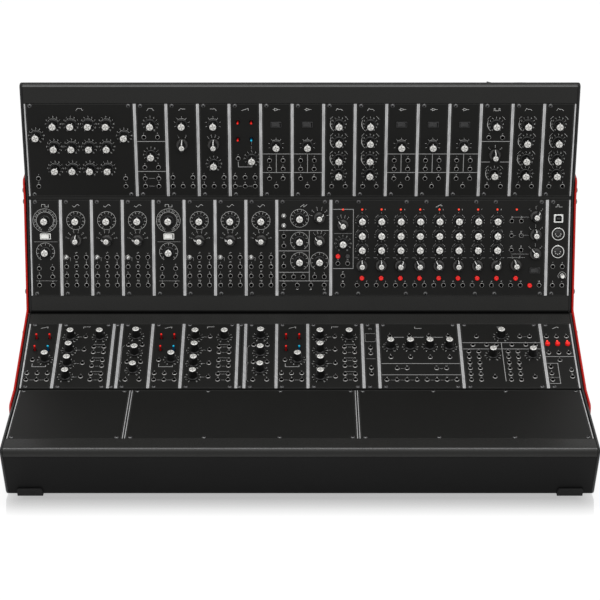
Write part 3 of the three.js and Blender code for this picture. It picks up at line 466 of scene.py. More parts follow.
# A node with its inputs, by name or in order: each is a value or another node's output
def addNode(tree, kind, inputs=(), **settings):
    node = tree.nodes.new(kind)
    for key, value in settings.items():
        setattr(node, key, value)
    for key, value in inputs.items() if isinstance(inputs, dict) else enumerate(inputs):
        if isinstance(value, bpy.types.NodeSocket):
            tree.links.new(value, node.inputs[key])
        else:
            node.inputs[key].default_value = value
    return node


# A noise over Object coordinates, 0 to 1, stretched as told and turned about the upright axis
def noiseField(tree, scale, detail=3.0, stretch=None, turn=0.0):
    place = addNode(tree, "ShaderNodeTexCoord").outputs["Object"]
    if stretch is not None:
        scales = [1 / value for value in stretch]
        layout = {"Vector": place, "Rotation": (0, 0, radians(turn)), "Scale": scales}
        place = addNode(tree, "ShaderNodeMapping", layout, vector_type="TEXTURE").outputs["Vector"]
    noise = {"Vector": place, "Scale": scale, "Detail": detail}
    return addNode(tree, "ShaderNodeTexNoise", noise).outputs["Fac"]


def toneField(tree):
    return addNode(tree, "ShaderNodeAttribute", attribute_name="tone").outputs["Fac"]


def colourBetween(tree, shader, factor, first, second):
    ends = {"A": (*srgb(first), 1), "B": (*srgb(second), 1), "Factor": factor}
    colour = addNode(tree, "ShaderNodeMix", ends, data_type="RGBA").outputs["Result"]
    tree.links.new(colour, shader.inputs["Base Color"])
    return colour


def spreadRoughness(tree, shader, factor, middle, spread):  # middle - spread to middle + spread
    low, high = grainValues["noiseRange"]
    span = {"Value": factor, "From Min": low, "From Max": high}
    span |= {"To Min": middle - spread, "To Max": middle + spread}
    result = addNode(tree, "ShaderNodeMapRange", span).outputs["Result"]
    tree.links.new(result, shader.inputs["Roughness"])


def addBump(tree, shader, height, strength):
    bump = {"Height": height, "Strength": strength, "Distance": grainValues["bumpDistance"]}
    tree.links.new(addNode(tree, "ShaderNodeBump", bump).outputs["Normal"], shader.inputs["Normal"])


def coatFinish(name, colour, patch, roughness, specular, grain, bump, metallic=0.0, glow=0.0):
    tree, shader = startFinish(name, roughness, specular, metallic)
    mixed = colourBetween(tree, shader, noiseField(tree, grainValues["patchScale"]), colour, patch)
    fine = noiseField(tree, grain, grainValues["fineDetail"])
    spreadRoughness(tree, shader, fine, roughness, grainValues["coatSpread"])
    addBump(tree, shader, fine, bump)
    if glow:
        shader.inputs["Emission Strength"].default_value = glow
        tree.links.new(mixed, shader.inputs["Emission Color"])


def metalFinish(name, colour, dark, roughness, streaks, metallic, specular=0.5, turn=0.0, swirl=0.0):
    tree, shader = startFinish(name, roughness, specular, metallic)
    fine = noiseField(tree, 1.0, stretch=streaks, turn=turn)
    factor = fine
    # painted glints on the caps
    if swirl:  # the turned face is bright and dim by turns, as its tone says
        ends = {"A": fine, "B": toneField(tree), "Factor": swirl}
        factor = addNode(tree, "ShaderNodeMix", ends, data_type="FLOAT").outputs["Result"]
    colourBetween(tree, shader, factor, colour, dark)
    spreadRoughness(tree, shader, fine, roughness, grainValues["metalSpread"])
    addBump(tree, shader, fine, grainValues["metalBump"])


def leverFinish(name, tip, foot, roughness):
    tree, shader = startFinish(name, roughness, grainValues["leverSpecular"])
    colourBetween(tree, shader, toneField(tree), foot, tip)
    fine = noiseField(tree, grainValues["leverGrain"], grainValues["fineDetail"])
    addBump(tree, shader, fine, grainValues["leverBump"])


for name, values in finishValues.items():
    coatFinish(name, *values)
for name, values in metalValues.items():
    metalFinish(name, **values)
for name, values in leverValues.items():
    leverFinish(name, **values)
print("finishes made:", len(finishes))

sharpEdge = radians(34)
pieceCount = 0


# The arrays into a mesh whose object sits at the origin
def makePiece(name, shape, body, replaced=()):
    global pieceCount
    mesh = bpy.data.meshes.new(name)
    mesh.vertices.add(len(shape["points"]))
    mesh.vertices.foreach_set("co", shape["points"].astype(np.float32).ravel())
    mesh.loops.add(len(shape["corners"]))
    mesh.loops.foreach_set("vertex_index", shape["corners"].astype(np.int32))
    mesh.polygons.add(len(shape["sizes"]))
    starts = np.concatenate([[0], np.cumsum(shape["sizes"])[:-1]])
    mesh.polygons.foreach_set("loop_start", starts.astype(np.int32))
    used, numbers = np.unique(shape["finish"], return_inverse=True)
    for number in used:
        mesh.materials.append(finishes[finishNames[number]])
    mesh.polygons.foreach_set("material_index", numbers.astype(np.int32))
    mesh.polygons.foreach_set("use_smooth", np.ones(len(shape["sizes"]), bool))
    mesh.update(calc_edges=True)
    mesh.validate()
    mesh.set_sharp_from_angle(angle=sharpEdge)
    tone = mesh.attributes.new("tone", "FLOAT", "POINT")
    tone.data.foreach_set("value", shape["tone"].astype(np.float32))
    piece = bpy.data.objects.new(name, mesh)
    bpy.context.scene.collection.objects.link(piece)
    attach(piece, body)
    if replaced:
        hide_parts(*replaced)
    pieceCount += 1


# Case: trims, cheeks, brackets and feet in place of their plain solids, shells and rails as they are


# The bezel's section: ledge over the rail, flat band, nose, and a lip down the wall
def trimOutline(edge, wall):
    lipEnd = noseTangent + case["lipLength"]
    seat = case["panelThickness"] + case["clearance"]
    deep = -seat - case["railThickness"]
    bandEnd, wallDepth = bezelReach - noseTangent, case["bezelWall"]
    innerReach = bezelReach - wallDepth / np.tan(halfNose)
    corner, innerCorner = edge(bezelReach, 0), edge(innerReach, -wallDepth)
    innerLip = (innerCorner - corner) @ heading(wall)
    ledge, shoulder, gap = -case["railLedge"], case["railShoulder"], case["clearance"]
    # an extra point on the band marks where the strip of painted shade begins in the crease
    corners = [
        edge(ledge, -seat), edge(gap, -seat), edge(gap, 0), edge(bandEnd - case["paintedShadeStrip"], 0),
        corner, along(corner, wall, lipEnd), along(innerCorner, wall, lipEnd - innerLip), innerCorner,
        edge(shoulder, -wallDepth - gap), edge(shoulder, deep), edge(ledge, deep),
    ]
    nose, outerRound, innerRound = case["noseRadius"], case["trimRound"], case["trimInnerRound"]
    radii = [0, 0, outerRound, 0, nose, outerRound, innerRound, nose - wallDepth, 0, 0, 0]
    return rounded(corners, radii, case["noseSteps"])


# The nose has a finish of its own, by how far its sides lean away from the flat band. In the crease between
# the cases the nose is painted near black as shade, with a strip of painted shade on the band beside it
def trimFinishes(outline, edge, inCrease, glossy):
    start, ahead, out = edge(0, 0), edge(1, 0) - edge(0, 0), edge(0, 1) - edge(0, 0)
    sides = np.roll(outline, -1, axis=0) - outline
    lean = np.column_stack([sides[:, 1], -sides[:, 0]]) @ out / np.linalg.norm(sides, axis=1)
    reach = (outline + sides / 2 - start) @ ahead
    bandEnd = bezelReach - noseTangent
    if inCrease:
        leans = lean < np.cos(radians(case["creaseLean"]))
        strip = ~leans & (reach > bandEnd - case["paintedShadeStrip"])
        finish = np.where(strip, "paintedShadeStrip", "bezelCoat")
        return np.where(leans & (reach > bandEnd), "paintedCreaseShade", finish)
    nose = (lean < np.cos(radians(case["noseLean"]))) & (lean >= np.cos(radians(glossy)))
    return np.where(nose & (reach > bandEnd), "noseCoat", "bezelCoat")


def cheekOutline():
    corners = [frontNose, frontCorner, rearCorner, rearNose, knee]
    radii = [case["noseRadius"], case["sheetBend"], case["sheetBend"], case["noseRadius"], 0]
    return rounded(corners, radii, case["noseSteps"])


# The skin reflected in x, each face's corners taken the other way round
def mirrored(shape):
    ends = np.cumsum(shape["sizes"])
    starts = ends - shape["sizes"]
    face = np.repeat(np.arange(len(shape["sizes"])), shape["sizes"])
    corner = np.arange(len(shape["corners"]))
    backwards = starts[face] + ends[face] - 1 - corner
    return {**shape, "points": shape["points"] * [-1, 1, 1], "corners": shape["corners"][backwards]}


def frontEdge(reach, out):
    return fromRow(frontRow, case["frontSlope"], -reach, out)


def rearEdge(reach, out):
    return fromRow(backRow, backSlope, case["panelHeight"] + reach, out)


def makeCases():
    end, bevel = cheekInner - case["clearance"], case["endBevel"]
    trims = {
        "FrontTrim": ("front_bezel", frontEdge, frontHeading, case["frontGloss"]),
        "RearTrim": ("rear_bezel", rearEdge, rearHeading, case["rearGloss"]),
    }
    cheek = carried(cheekOutline(), cheekInner, cheekOuter, (bevel, case["cheekRound"]), "cheekCoat", steps=4)
    for side, upper in (("lower", False), ("upper", True)):
        for trim, (node, edge, wall, glossy) in trims.items():
            outline = trimOutline(edge, wall)
            finish = trimFinishes(outline, edge, upper == (trim == "FrontTrim"), glossy)
            shape = carried(outline, -end, end, (bevel, bevel), finish, steps=1)
            makePiece(side + trim, inPlace(shape, upper), "case", [f"{side}_{node}"])
        for hand, shape in (("right", cheek), ("left", mirrored(cheek))):
            name = side + hand.capitalize() + "Cheek"
            makePiece(name, inPlace(shape, upper), "case", [f"{side}_{hand}_cheek"])


bracket = {
    "thickness": 2.5, "arm": 58.0, "corner": 12.0, "bend": 36.0, "rise": 23.3, "reach": 43.6,
    "screwInset": 12.0, "bevel": 0.45, "arcSteps": 8,
}
bracketScrew = {"radius": 4.5, "height": 2.9, "recess": 1.6, "sides": 18}
panelScrew = {"radius": 2.75, "height": 1.5, "recess": 1.1, "sides": 12}
screwHead = {"root": 0.4, "dome": (1.0, 0.92, 0.75, 0.55), "wall": 0.35, "rim": 0.9, "floor": 0.25}


def crossing(pointA, angleA, pointB, angleB):  # where two lines meet
    across = heading(angleB + 90)
    return along(pointA, angleA, (pointB - pointA) @ across / (heading(angleA) @ across))


def kneeAt(drop):  # the bend of a line that runs along both rows, so deep under them
    half = case["kneeBend"] / 2
    return along(knee, case["frontSlope"] + half - 90, drop / np.cos(radians(half)))


def bracketOutline():
    upperFront, upperBack = case["frontSlope"] + case["upperTurn"], backSlope + case["upperTurn"]
    arm, corner = bracket["arm"], bracket["corner"]
    top = raised(fromRow(backRow, backSlope, bracket["rise"], 0))
    end = along(knee, case["frontSlope"] + 180, bracket["reach"])
    corners = [
        top, raised(knee), crossing(knee, backSlope, raised(knee), upperFront), knee, end,
        along(end, case["frontSlope"] - 90, arm), kneeAt(arm),
        crossing(kneeAt(arm), backSlope, raised(kneeAt(arm)), upperFront),
        raised(kneeAt(arm)), along(top, upperBack - 90, arm),
    ]
    radii = [corner / 2, 0, 0, 0, corner / 2, corner, 0, bracket["bend"], 0, corner]
    return rounded(corners, radii, bracket["arcSteps"])


def bracketSeats():
    near, far = case["railLedge"] / 2, case["panelHeight"] - case["railLedge"] / 2
    back, front = -bracket["screwInset"], case["frontSlope"]
    lower = [(backRow, backSlope, far), (backRow, backSlope, near), (frontRow, front, far)]
    upper = [(backRow, backSlope, near), (frontRow, front, far), (frontRow, front, near)]
    seats = [fromRow(origin, slope, distance, back) for origin, slope, distance in lower]
    return seats + [raised(fromRow(origin, slope, distance, back)) for origin, slope, distance in upper]


# A domed head with a socket: the dome falls from its height to its wall as the square of the radius
def socketScrew(radius, height, recess, sides):
    root, wall = -screwHead["root"], screwHead["wall"]
    rim, floor = height * screwHead["rim"], height * screwHead["floor"]
    dome = [(radius * s, height * (wall + (1 - wall) * (1 - s ** 2))) for s in screwHead["dome"]]
    profile = [(0, root), (radius, root), *dome, (recess, rim), (recess, floor), (0, floor)]
    return lathe(profile, sides, ["blackScrew"] * (len(profile) - 3) + ["holeBlack"] * 2)


def makeBrackets():
    inner = cheekOuter + case["clearance"]
    outer = inner + bracket["thickness"]
    bar = carried(bracketOutline(), inner, outer, (bracket["bevel"], bracket["bevel"]), "redCoat")
    head = socketScrew(**bracketScrew)
    x, y, z = head["points"].T
    sideways = np.stack([z + outer, x, y], -1)
    heads = joined([{**head, "points": sideways + [0, *seat]} for seat in bracketSeats()])
    for side, turn in (("right", lambda s: s), ("left", mirrored)):
        makePiece(side + "Bracket", inPlace(turn(bar)), "case", [side + "_bracket"])
        makePiece(side + "BracketScrews", inPlace(turn(heads)), "case")


foot = {
    "width": 31.0, "inset": 14.6, "proud": 2.0, "rise": 12.5, "reach": 28.0, "round": 3.2, "steps": 5,
    "topRound": 0.5, "toeRound": 0.8, "arcSteps": 4,
}


def footOutline(corner, wall, side, rise):
    gap = case["clearance"]

    def wallPoint(height, out):
        start = along(corner, wall - 90 * side, out)
        return along(start, wall, (height - start[1]) / heading(wall)[1])

    end, top = corner[0] + foot["reach"] * side, case["footHeight"] - gap
    corners = [
        wallPoint(rise, gap), wallPoint(rise, gap + foot["proud"]), wallPoint(0, gap + foot["proud"]),
        (end, 0), (end, top), wallPoint(top, gap),
    ]
    radii = [0, foot["topRound"], foot["proud"], foot["toeRound"], 0, case["sheetBend"] + gap]
    return rounded(corners, radii, foot["arcSteps"])


# Each foot is lofted along x, its height over the wall rising in a quarter circle at both ends
def makeFeet():
    outer = cheekOuter - foot["inset"]
    share, back = roundEdge(foot["steps"])
    drop = foot["round"] * back
    starts = outer - foot["width"] + foot["round"] * share
    xs = np.concatenate([starts, outer - foot["round"] * share[::-1]])
    rises = foot["rise"] - np.concatenate([drop, drop[::-1]])
    walls = {"front": (frontCorner, frontHeading, 1), "rear": (rearCorner, rearHeading, -1)}
    for place, wall in walls.items():
        shape = loft([atX(x, footOutline(*wall, rise)) for x, rise in zip(xs, rises)], "rubber")
        makePiece(place + "RightFoot", inPlace(shape), "case", [place + "_right_foot"])
        makePiece(place + "LeftFoot", inPlace(mirrored(shape)), "case", [place + "_left_foot"])


makeCases()
makeBrackets()
makeFeet()
print("case made:", pieceCount, "pieces")

# Controls, each about its own middle on the panel, z out of it
knob = {
    "skirtRadius": 7.0, "skirtHeight": 1.9, "bodyRadius": 5.7, "topRadius": 4.9, "height": 13.0,
    "capRadius": 4.35, "gap": 0.3, "shaftRadius": 3.0, "shaftDepth": 5.0, "sides": 20, "pointerWidth": 1.0,
    "markLength": 2.2, "markTaper": 0.08,
}
# Tones of the painted glints on a metal cap: rim, middle ring, its sway, centre, and the middle ring's share
# of the radius
capGlintTones = {"rim": 0.24, "middle": 0.5, "sway": 0.5, "centre": 0.6, "share": 0.55}
selector = {
    "radius": 8.0, "baseHeight": 3.4, "height": 16.0, "barWidth": 5.6, "barLength": 14.6, "barRound": 2.2,
    "capRadius": 3.35, "hubRadius": 4.2, "sides": 24,
}


def knobSkin():
    k = knob
    foot, base, skirt, top = -k["shaftDepth"], k["gap"], k["skirtHeight"], k["height"]
    profile = [
        (0, foot), (k["shaftRadius"], foot), (k["shaftRadius"], base), (k["skirtRadius"], base),
        (k["skirtRadius"], skirt - 0.5), (k["bodyRadius"] + 0.2, skirt), (k["topRadius"], top - 0.5),
        (k["capRadius"] + 0.1, top),
    ]
    body = spunTop(profile, k["capRadius"], top, ["knobPlastic"] * len(profile), k["sides"])
    rim, markEnd = top - 0.45, top - k["markLength"]
    inner, outer = k["capRadius"] - 0.2, k["topRadius"] + 0.14
    line = [(inner, rim), (outer, rim), (outer + k["markTaper"] * k["markLength"], markEnd), (inner, markEnd)]
    return joined([body, bladeSkin(line, k["pointerWidth"], "pointerPaint")])


# A turned body closed by its metal cap, with painted glints: bright at the rim, with a cross of dimmer wedges
# inside
def spunTop(profile, radius, height, names, sides):
    c = capGlintTones
    edge, flat = height - 0.15, height + 0.1
    cap = [(radius, edge), (radius - 0.4, flat), (radius * c["share"], flat), (0, height + 0.05)]
    tone = [c["rim"]] * (len(profile) + 2) + [c["middle"], c["centre"]]
    swirl = [0.0] * (len(profile) + 2) + [c["sway"], 0.0]
    return lathe(profile + cap, sides, names + ["spunCapPaintedGlints"] * 3, swirl=swirl, tone=tone)


# A blade of a side outline in (y, z), as wide as told along x
def bladeSkin(side, width, finish):
    side = np.asarray(side, float)
    ahead = np.roll(side, -1, axis=0)
    if (side[:, 0] * ahead[:, 1] - side[:, 1] * ahead[:, 0]).sum() < 0:
        side = side[::-1]
    return loft([atX(x, side) for x in (-width / 2, width / 2)], finish)


def selectorSkin():
    s, k = selector, knob
    foot, gap, base, top = -k["shaftDepth"], k["gap"], s["baseHeight"], s["height"]
    profile = [
        (0, foot), (k["shaftRadius"], foot), (k["shaftRadius"], gap), (s["radius"], gap),
        (s["radius"], base - 1), (s["radius"] - 0.9, base), (s["hubRadius"] + 0.6, base + 0.3),
        (s["hubRadius"], top - 0.6), (s["capRadius"] + 0.1, top - 0.1),
    ]
    names = ["knobPlastic"] * 2 + ["smokePlastic"] * 4 + ["knobPlastic"] * (len(profile) - 6)
    hub = spunTop(profile, s["capRadius"], top, names, s["sides"])
    levels = [(0, base - 0.5), (0.5, top * 0.6), (0.9, top - 1.6), (1.7, top - 0.9)]
    grip = tower(rectangle(s["barWidth"], s["barLength"], s["barRound"]), levels, "knobPlastic")
    half, inner = s["barLength"] / 2, s["capRadius"] - 0.1
    line = [
        (inner, top - 0.5), (half - 1.6, top - 0.75), (half - 0.5, top - 2.2), (half + 0.15, base),
        (half - 1.2, base + 0.2), (half - 2.6, top - 2.4), (inner, top - 1.6),
    ]
    return joined([hub, grip, bladeSkin(line, k["pointerWidth"], "pointerPaint")])


lever = {
    "height": 8.6, "tipRadius": 1.3, "stemRadius": 1.0, "ballRadius": 1.9, "collarRadius": 3.2,
    "collarHeight": 2.4, "lowCollar": 0.9, "collarBore": 2.5, "smallHeight": 8.0, "smallTipRadius": 1.2,
    "toneDepth": 2.2, "toneLength": 1.2, "sides": 12,
}


# The end of a turned body, from its wall to its axis: (r cos a, top - rise (1 - sin a))
def roundedEnd(radius, rise, top):
    turn = np.radians([0, 30, 60])
    return [(radius * np.cos(a), top - rise * (1 - np.sin(a))) for a in turn] + [(0, top)]


# A sleeve on a thin stem over its ball; its tone goes from 0 to 1 just below the tip
def leverSkin(height, tipRadius, finish, collar):
    start, top, stem, ballRadius = collar - 0.6, height, lever["stemRadius"], lever["ballRadius"]
    ball = [(0, -1.6), (ballRadius, -0.5), (ballRadius, start - 0.5), (stem, start - 0.1), (stem, start)]
    sleeve = [(tipRadius * 0.95, start), (tipRadius * 0.97, top - 2.2), (tipRadius, top - 1.4)]
    profile = [*ball, *sleeve, *roundedEnd(tipRadius, tipRadius / 2, top)]
    rise = np.array([level for _, level in profile])
    tone = np.clip((rise - top + lever["toneDepth"]) / lever["toneLength"], 0, 1)
    names = ["blackScrew"] * (len(ball) - 1) + [finish] * (len(profile) - len(ball))
    if finish == "brightNickel":
        names = [finish] * (len(profile) - 1)
    return lathe(profile, lever["sides"], names, tone=tone)


# A threaded bush with a bevelled rim and a bore for the lever
def collarSkin(finish, height):
    radius, bore = lever["collarRadius"], lever["collarBore"]
    profile = [(0, -1.5), (radius, -1.5), (radius, height - 0.5), (radius - 0.5, height), (bore, height),
               (bore, 0.2), (0, 0.2)]
    return lathe(profile, lever["sides"], [finish] * 4 + ["holeBlack"] * 2)


rocker = {
    "length": 14.0, "width": 7.7, "round": 0.8, "rim": 1.0, "rise": 1.4, "tip": 1.6, "dip": 1.3, "depth": 4.0,
    "bevel": 0.25, "tilt": -8.0,
}
powerRocker = {**rocker, "length": 21.0, "width": 14.0, "tip": 0.7}


# A rim round a pocket: up the outside, over the rim and down the inside
def rockerFrameSkin(r, finish):
    outline = rectangle(r["length"], r["width"], r["round"])
    levels = [(0, -r["depth"] - 1), (0, r["rise"] - 0.3), (0.3, r["rise"]), (r["rim"] - 0.1, r["rise"]),
              (r["rim"], r["rise"] - 0.2), (r["rim"], -r["depth"])]
    return tower(outline, levels, [finish] * 4 + ["holeBlack", "blackPlastic", "holeBlack"])


# A paddle whose top dips between its two raised ends: rise + tip |x / end|^dip
def paddleSkin(r, finish):
    half = r["length"] / 2 - r["rim"] - case["clearance"]
    end, top = half - r["tip"] / 4, r["rise"] + r["tip"]
    x = end * np.linspace(-1, 1, 11)
    arc = np.column_stack([x, r["rise"] + (top - r["rise"]) * np.abs(x / end) ** r["dip"]])
    side = np.vstack([[(-half / 2, r["tip"] - r["depth"]), (half / 2, r["tip"] - r["depth"])], arc[::-1]])
    wide, bevel = r["width"] / 2 - r["rim"] - case["clearance"], r["bevel"]
    rings = []
    for y, back in ((wide, bevel), (wide - bevel, 0), (bevel - wide, 0), (-wide, bevel)):
        section = inset(side, back)
        rings.append(np.column_stack([section[:, 0], np.full(len(section), y), section[:, 1]]))
    return tilted(loft(rings, finish), r["tilt"])


button = {"radius": 3.1, "height": 3.0, "depth": 3.0, "sides": 14}
jack = {"nutRadius": 3.0, "nutHeight": 0.85, "bore": 2.0, "barrel": 2.6, "depth": 5.5, "sides": 12}
lamp = {"radius": 1.45, "height": 1.5, "dome": 0.7, "sides": 10}
smallKnob = {"radius": 3.0, "height": 8.0, "mark": (1.2, 2.75), "markWidth": 0.7}


def buttonSkin(finish="redPlastic"):
    r, h, foot = button["radius"], button["height"], -button["depth"]
    side = [(0, foot), (r, foot), (r, h - 0.7), (r - 0.25, h - 0.2), (r - 0.8, h)]
    return lathe(side + [(1.1, h), (0.6, h - 0.3), (0, h - 0.35)], button["sides"], finish)


# Nut, rim and blind bore in one turn
def jackSkin():
    j = jack
    foot, nut, top, bore = -j["depth"], j["nutRadius"], j["nutHeight"], j["bore"]
    profile = [
        (0, foot - 0.5), (j["barrel"], foot - 0.5), (j["barrel"], 0.02), (nut, 0.02), (nut, top - 0.4),
        (nut - 0.35, top), (bore + 0.5, top), (bore, top - 0.4), (bore, foot), (0, foot),
    ]
    names = ["holeBlack"] * 3 + ["nickel"] * 3 + ["holeBlack"] * 3
    return lathe(profile, j["sides"], names)


def lampSkin(finish):  # a dome over a short wall
    r, h = lamp["radius"], lamp["height"]
    return lathe([(0, -1), (r, -1), *roundedEnd(r, r * lamp["dome"], h)], lamp["sides"], finish)


def smallKnobSkin():
    r, h, inner, outer = smallKnob["radius"], smallKnob["height"], *smallKnob["mark"]
    skirt, wall = [(0, -1), (r, -1), (r, 0.6)], [(r - 0.3, 0.8), (r - 0.4, h - 0.6)]
    names = ["blackPlastic"] * 2 + ["brightNickel"] * 2 + ["spunCapPaintedGlints"] * 2
    body = lathe([*skirt, *wall, (r - 0.7, h), (0, h + 0.05)], 18, names, tone=0.1)
    mark = [(inner, h - 0.3), (outer, h - 0.3), (outer, h + 0.12), (inner, h + 0.12)]
    return joined([body, bladeSkin(mark, smallKnob["markWidth"], "holeBlack")])


din = {
    "radius": 8.5, "ringWidth": 1.0, "rise": 1.0, "insertRadius": 5.6, "insertRise": 0.3, "pinCircle": 3.5,
    "pinAngles": (-90, -45, 0, 45, 90), "pinRadius": 0.75, "pinRise": 0.06,
}


# A bright ring round a black insert that carries five sockets on an arc and a key
def dinSkin():
    r, inner, rise = din["radius"], din["radius"] - din["ringWidth"], din["rise"]
    rim = [(0, -1.5), (r, -1.5), (r, rise - 0.3), (r - 0.3, rise), (inner, rise), (inner, -1), (0, -1)]
    ring = lathe(rim, 32, ["brightNickel"] * 4 + ["holeBlack"] * 2)
    edge, face = din["insertRadius"], din["insertRise"]
    profile = [(0, -1.2), (edge, -1.2), (edge, face - 0.2), (edge - 0.4, face), (0, face)]
    insert = lathe(profile, 24, "knobPlastic")
    pin, top = din["pinRadius"], face + din["pinRise"]
    socket = lathe([(0, face - 0.1), (pin, face - 0.1), (pin, top), (0, top)], 8, "nickel")
    angles = np.radians(din["pinAngles"])
    pins = repeated(socket, din["pinCircle"] * np.column_stack([np.sin(angles), -np.cos(angles)]))
    key = tower(rectangle(2.2, 1.6, 0.4, 2, (0, edge)), [(0, -1), (0, 0.5)], "blackPlastic")
    return joined([ring, insert, pins, key])


usb = {
    "width": 12.3, "height": 11.0, "rise": 0.8, "tongue": (5.0, 2.6),
    "socket": [(-4.3, -3.9), (4.3, -3.9), (4.3, 2.2), (2.6, 3.9), (-2.6, 3.9), (-4.3, 2.2)],
}


# A bright frame round a socket with two cut corners, and the tongue inside it
def usbSkin():
    rim = rectangle(usb["width"], usb["height"], 0.6, 2)
    frameSkin = tower(rim, [(0, -1), (0, usb["rise"] - 0.2), (0.2, usb["rise"])], "brightNickel")
    socket = tower(np.array(usb["socket"]), [(0, 0), (0, usb["rise"] + 0.06)], "holeBlack")
    tongue = tower(rectangle(*usb["tongue"], 0.3, 2), [(0, 0.5), (0, usb["rise"] + 0.2)], "blackPlastic")
    return joined([frameSkin, socket, tongue])


# Panel print: thin raised lines, plain figures and wave signs
# the frame width is that of the painted edge light round each panel
ink = {"height": 0.05, "lift": 0.01, "fineLine": 0.32, "line": 0.72, "frame": 0.3,
       "sign": 0.45, "smallSign": 0.35, "figure": 1.5, "stroke": 0.2, "dotRadius": 0.35, "dotPitch": 1.7,
       "signSize": np.array([9.0, 3.2]), "smallSize": np.array([2.6, 1.5]), "arcStep": 12}
digitStrokes = {
    "0": [[(0, 0), (0, 4), (2, 4), (2, 0), (0, 0)]],
    "1": [[(0.4, 3.2), (1.2, 4), (1.2, 0)]],
    "2": [[(0, 4), (2, 4), (2, 2), (0, 2), (0, 0), (2, 0)]],
    "3": [[(0, 4), (2, 4), (2, 0), (0, 0)], [(0.4, 2), (1.8, 2)]],
    "4": [[(0, 4), (0, 1.6), (2, 1.6)], [(1.4, 3), (1.4, 0)]],
    "5": [[(2, 4), (0, 4), (0, 2.2), (2, 2.2), (2, 0), (0, 0)]],
    "6": [[(2, 4), (0, 4), (0, 0), (2, 0), (2, 2), (0.3, 2)]],
    "7": [[(0, 4), (2, 4), (0.7, 0)]],
    "8": [[(0, 0), (0, 4), (2, 4), (2, 0), (0, 0)], [(0.3, 2), (1.7, 2)]],
    "9": [[(1.7, 2), (0, 2), (0, 4), (2, 4), (2, 0), (0, 0)]],
}


def inkLine(path, width, finish="ink", closed=False):
    return ribbon(path, width, finish, ink["height"], closed, ink["lift"])


# A whole number drawn with straight strokes, its middle at the origin
def figure(number):
    scale = ink["figure"] / 4  # the strokes are four units high
    digits = str(number)
    strokes = []
    for place, digit in enumerate(digits):
        shift = 3 * place - (3 * len(digits) - 1) / 2  # each is two wide, and the gap is one
        for stroke in digitStrokes[digit]:
            strokes.append(inkLine((np.array(stroke, float) + [shift, -2]) * scale, ink["stroke"]))
    return joined(strokes)


jackNumbers = 32  # the figures over a module's jacks start again after these
figures = {number: figure(number) for number in range(jackNumbers + 1)}


def clockwise(angle, radius):  # a point on a dial, from straight up
    angle = np.radians(angle)
    return np.stack([radius * np.sin(angle), radius * np.cos(angle)], -1)


def arcLine(radius, start, stop, width):
    steps = max(3, int(abs(stop - start) / ink["arcStep"]) + 1)
    return inkLine(clockwise(np.linspace(start, stop, steps + 1), radius), width)


def ringLine(radius, width):
    return inkLine(clockwise(np.arange(0, -360, -ink["arcStep"]), radius), width, closed=True)


def tickLines(count, sweep, inner, outer, width):
    tick = inkLine([(0, inner), (0, outer)], width)
    return repeated(tick, np.zeros((count, 2)), np.linspace(-sweep, sweep, count))


tenFigures = (0, 11, 150)

# Dial prints: ticks (count, sweep, inner, outer, width), figures (first, count, sweep, radius),
# arcs (radius, from, to, width) and rings (radius, width)
dialStyles = {
    "bank": {"ticks": (11, 150, 7.7, 8.5, 0.26), "figures": (*tenFigures, 10.0),
             "arcs": [(7.4, -60, 60, 0.2)]},
    "plain": {"ticks": (11, 150, 7.7, 8.5, 0.26), "figures": (*tenFigures, 10.0)},
    "fixed": {"ticks": (7, 112, 8.2, 10.4, 0.3), "arcs": [(7.5, -42, 42, 0.35)]},
    "time": {"ticks": (11, 150, 7.6, 8.2, 0.24), "figures": (*tenFigures, 9.3),
             "arcs": [(11.3, -146, -62, 0.4), (11.0, -126, -82, 0.5), (13.0, -60, -36, 0.3),
                      (13.0, 36, 62, 0.32)]},
    "tuning": {"ticks": (12, 150, 8.6, 11.6, 0.34), "rings": [(12.0, 0.36)]},
    "wideTuning": {"ticks": (22, 158, 11.8, 14.6, 0.3), "rings": [(15.7, 0.36)],
                   "arcs": [(11.4, -150, 150, 0.4)], "figures": (*tenFigures, 13.2)},
    "openTuning": {"ticks": (9, 135, 8.8, 11.4, 0.34), "arcs": [(12.0, -150, 150, 0.36)]},
    "level": {"ticks": (11, 150, 7.7, 8.6, 0.24), "figures": (*tenFigures, 9.9)},
    "steps": {"ticks": (1, 0, 9.6, 11.2, 0.22),
              "arcs": [(8.6, *span, 0.24) for span in ((-64, -30), (30, 64), (-90, -80), (80, 90))]
              + [(8.8, start, start + 9, 0.34) for start in (-153, -114, 105, 144)]},
    "clock": {"ticks": (9, 120, 8.0, 9.0, 0.26), "figures": (*tenFigures, 10.6)},
    "fiveWay": {"ticks": (4, 36, 9.2, 11.4, 0.32), "figures": (1, 4, 36, 12.8)},
    "twoWay": {"ticks": (2, 24, 9.4, 11.4, 0.32), "figures": (1, 2, 24, 12.8)},
    "range": {"ticks": (6, 75, 9.6, 12.2, 0.32), "figures": (1, 6, 75, 13.5)},
    "threeWay": {"ticks": (3, 42, 9.2, 11.2, 0.32), "figures": (1, 3, 42, 12.6)},
    "stepMode": {"ticks": (3, 30, 8.9, 10.2, 0.35)},
    "small": {"arcs": [(5.2, -130, 130, 0.35)]},
}


def dialPrint(style):
    values = dialStyles[style]
    lines = [tickLines(*values["ticks"])] if "ticks" in values else []
    lines += [arcLine(*arc) for arc in values.get("arcs", [])]
    lines += [ringLine(*ring) for ring in values.get("rings", [])]
    if "figures" in values:
        first, count, sweep, radius = values["figures"]
        spots = clockwise(np.linspace(-sweep, sweep, count), radius)
        lines += [repeated(figures[first + number], spots[number]) for number in range(count)]
    return joined(lines)


dialPrints = {style: dialPrint(style) for style in dialStyles}

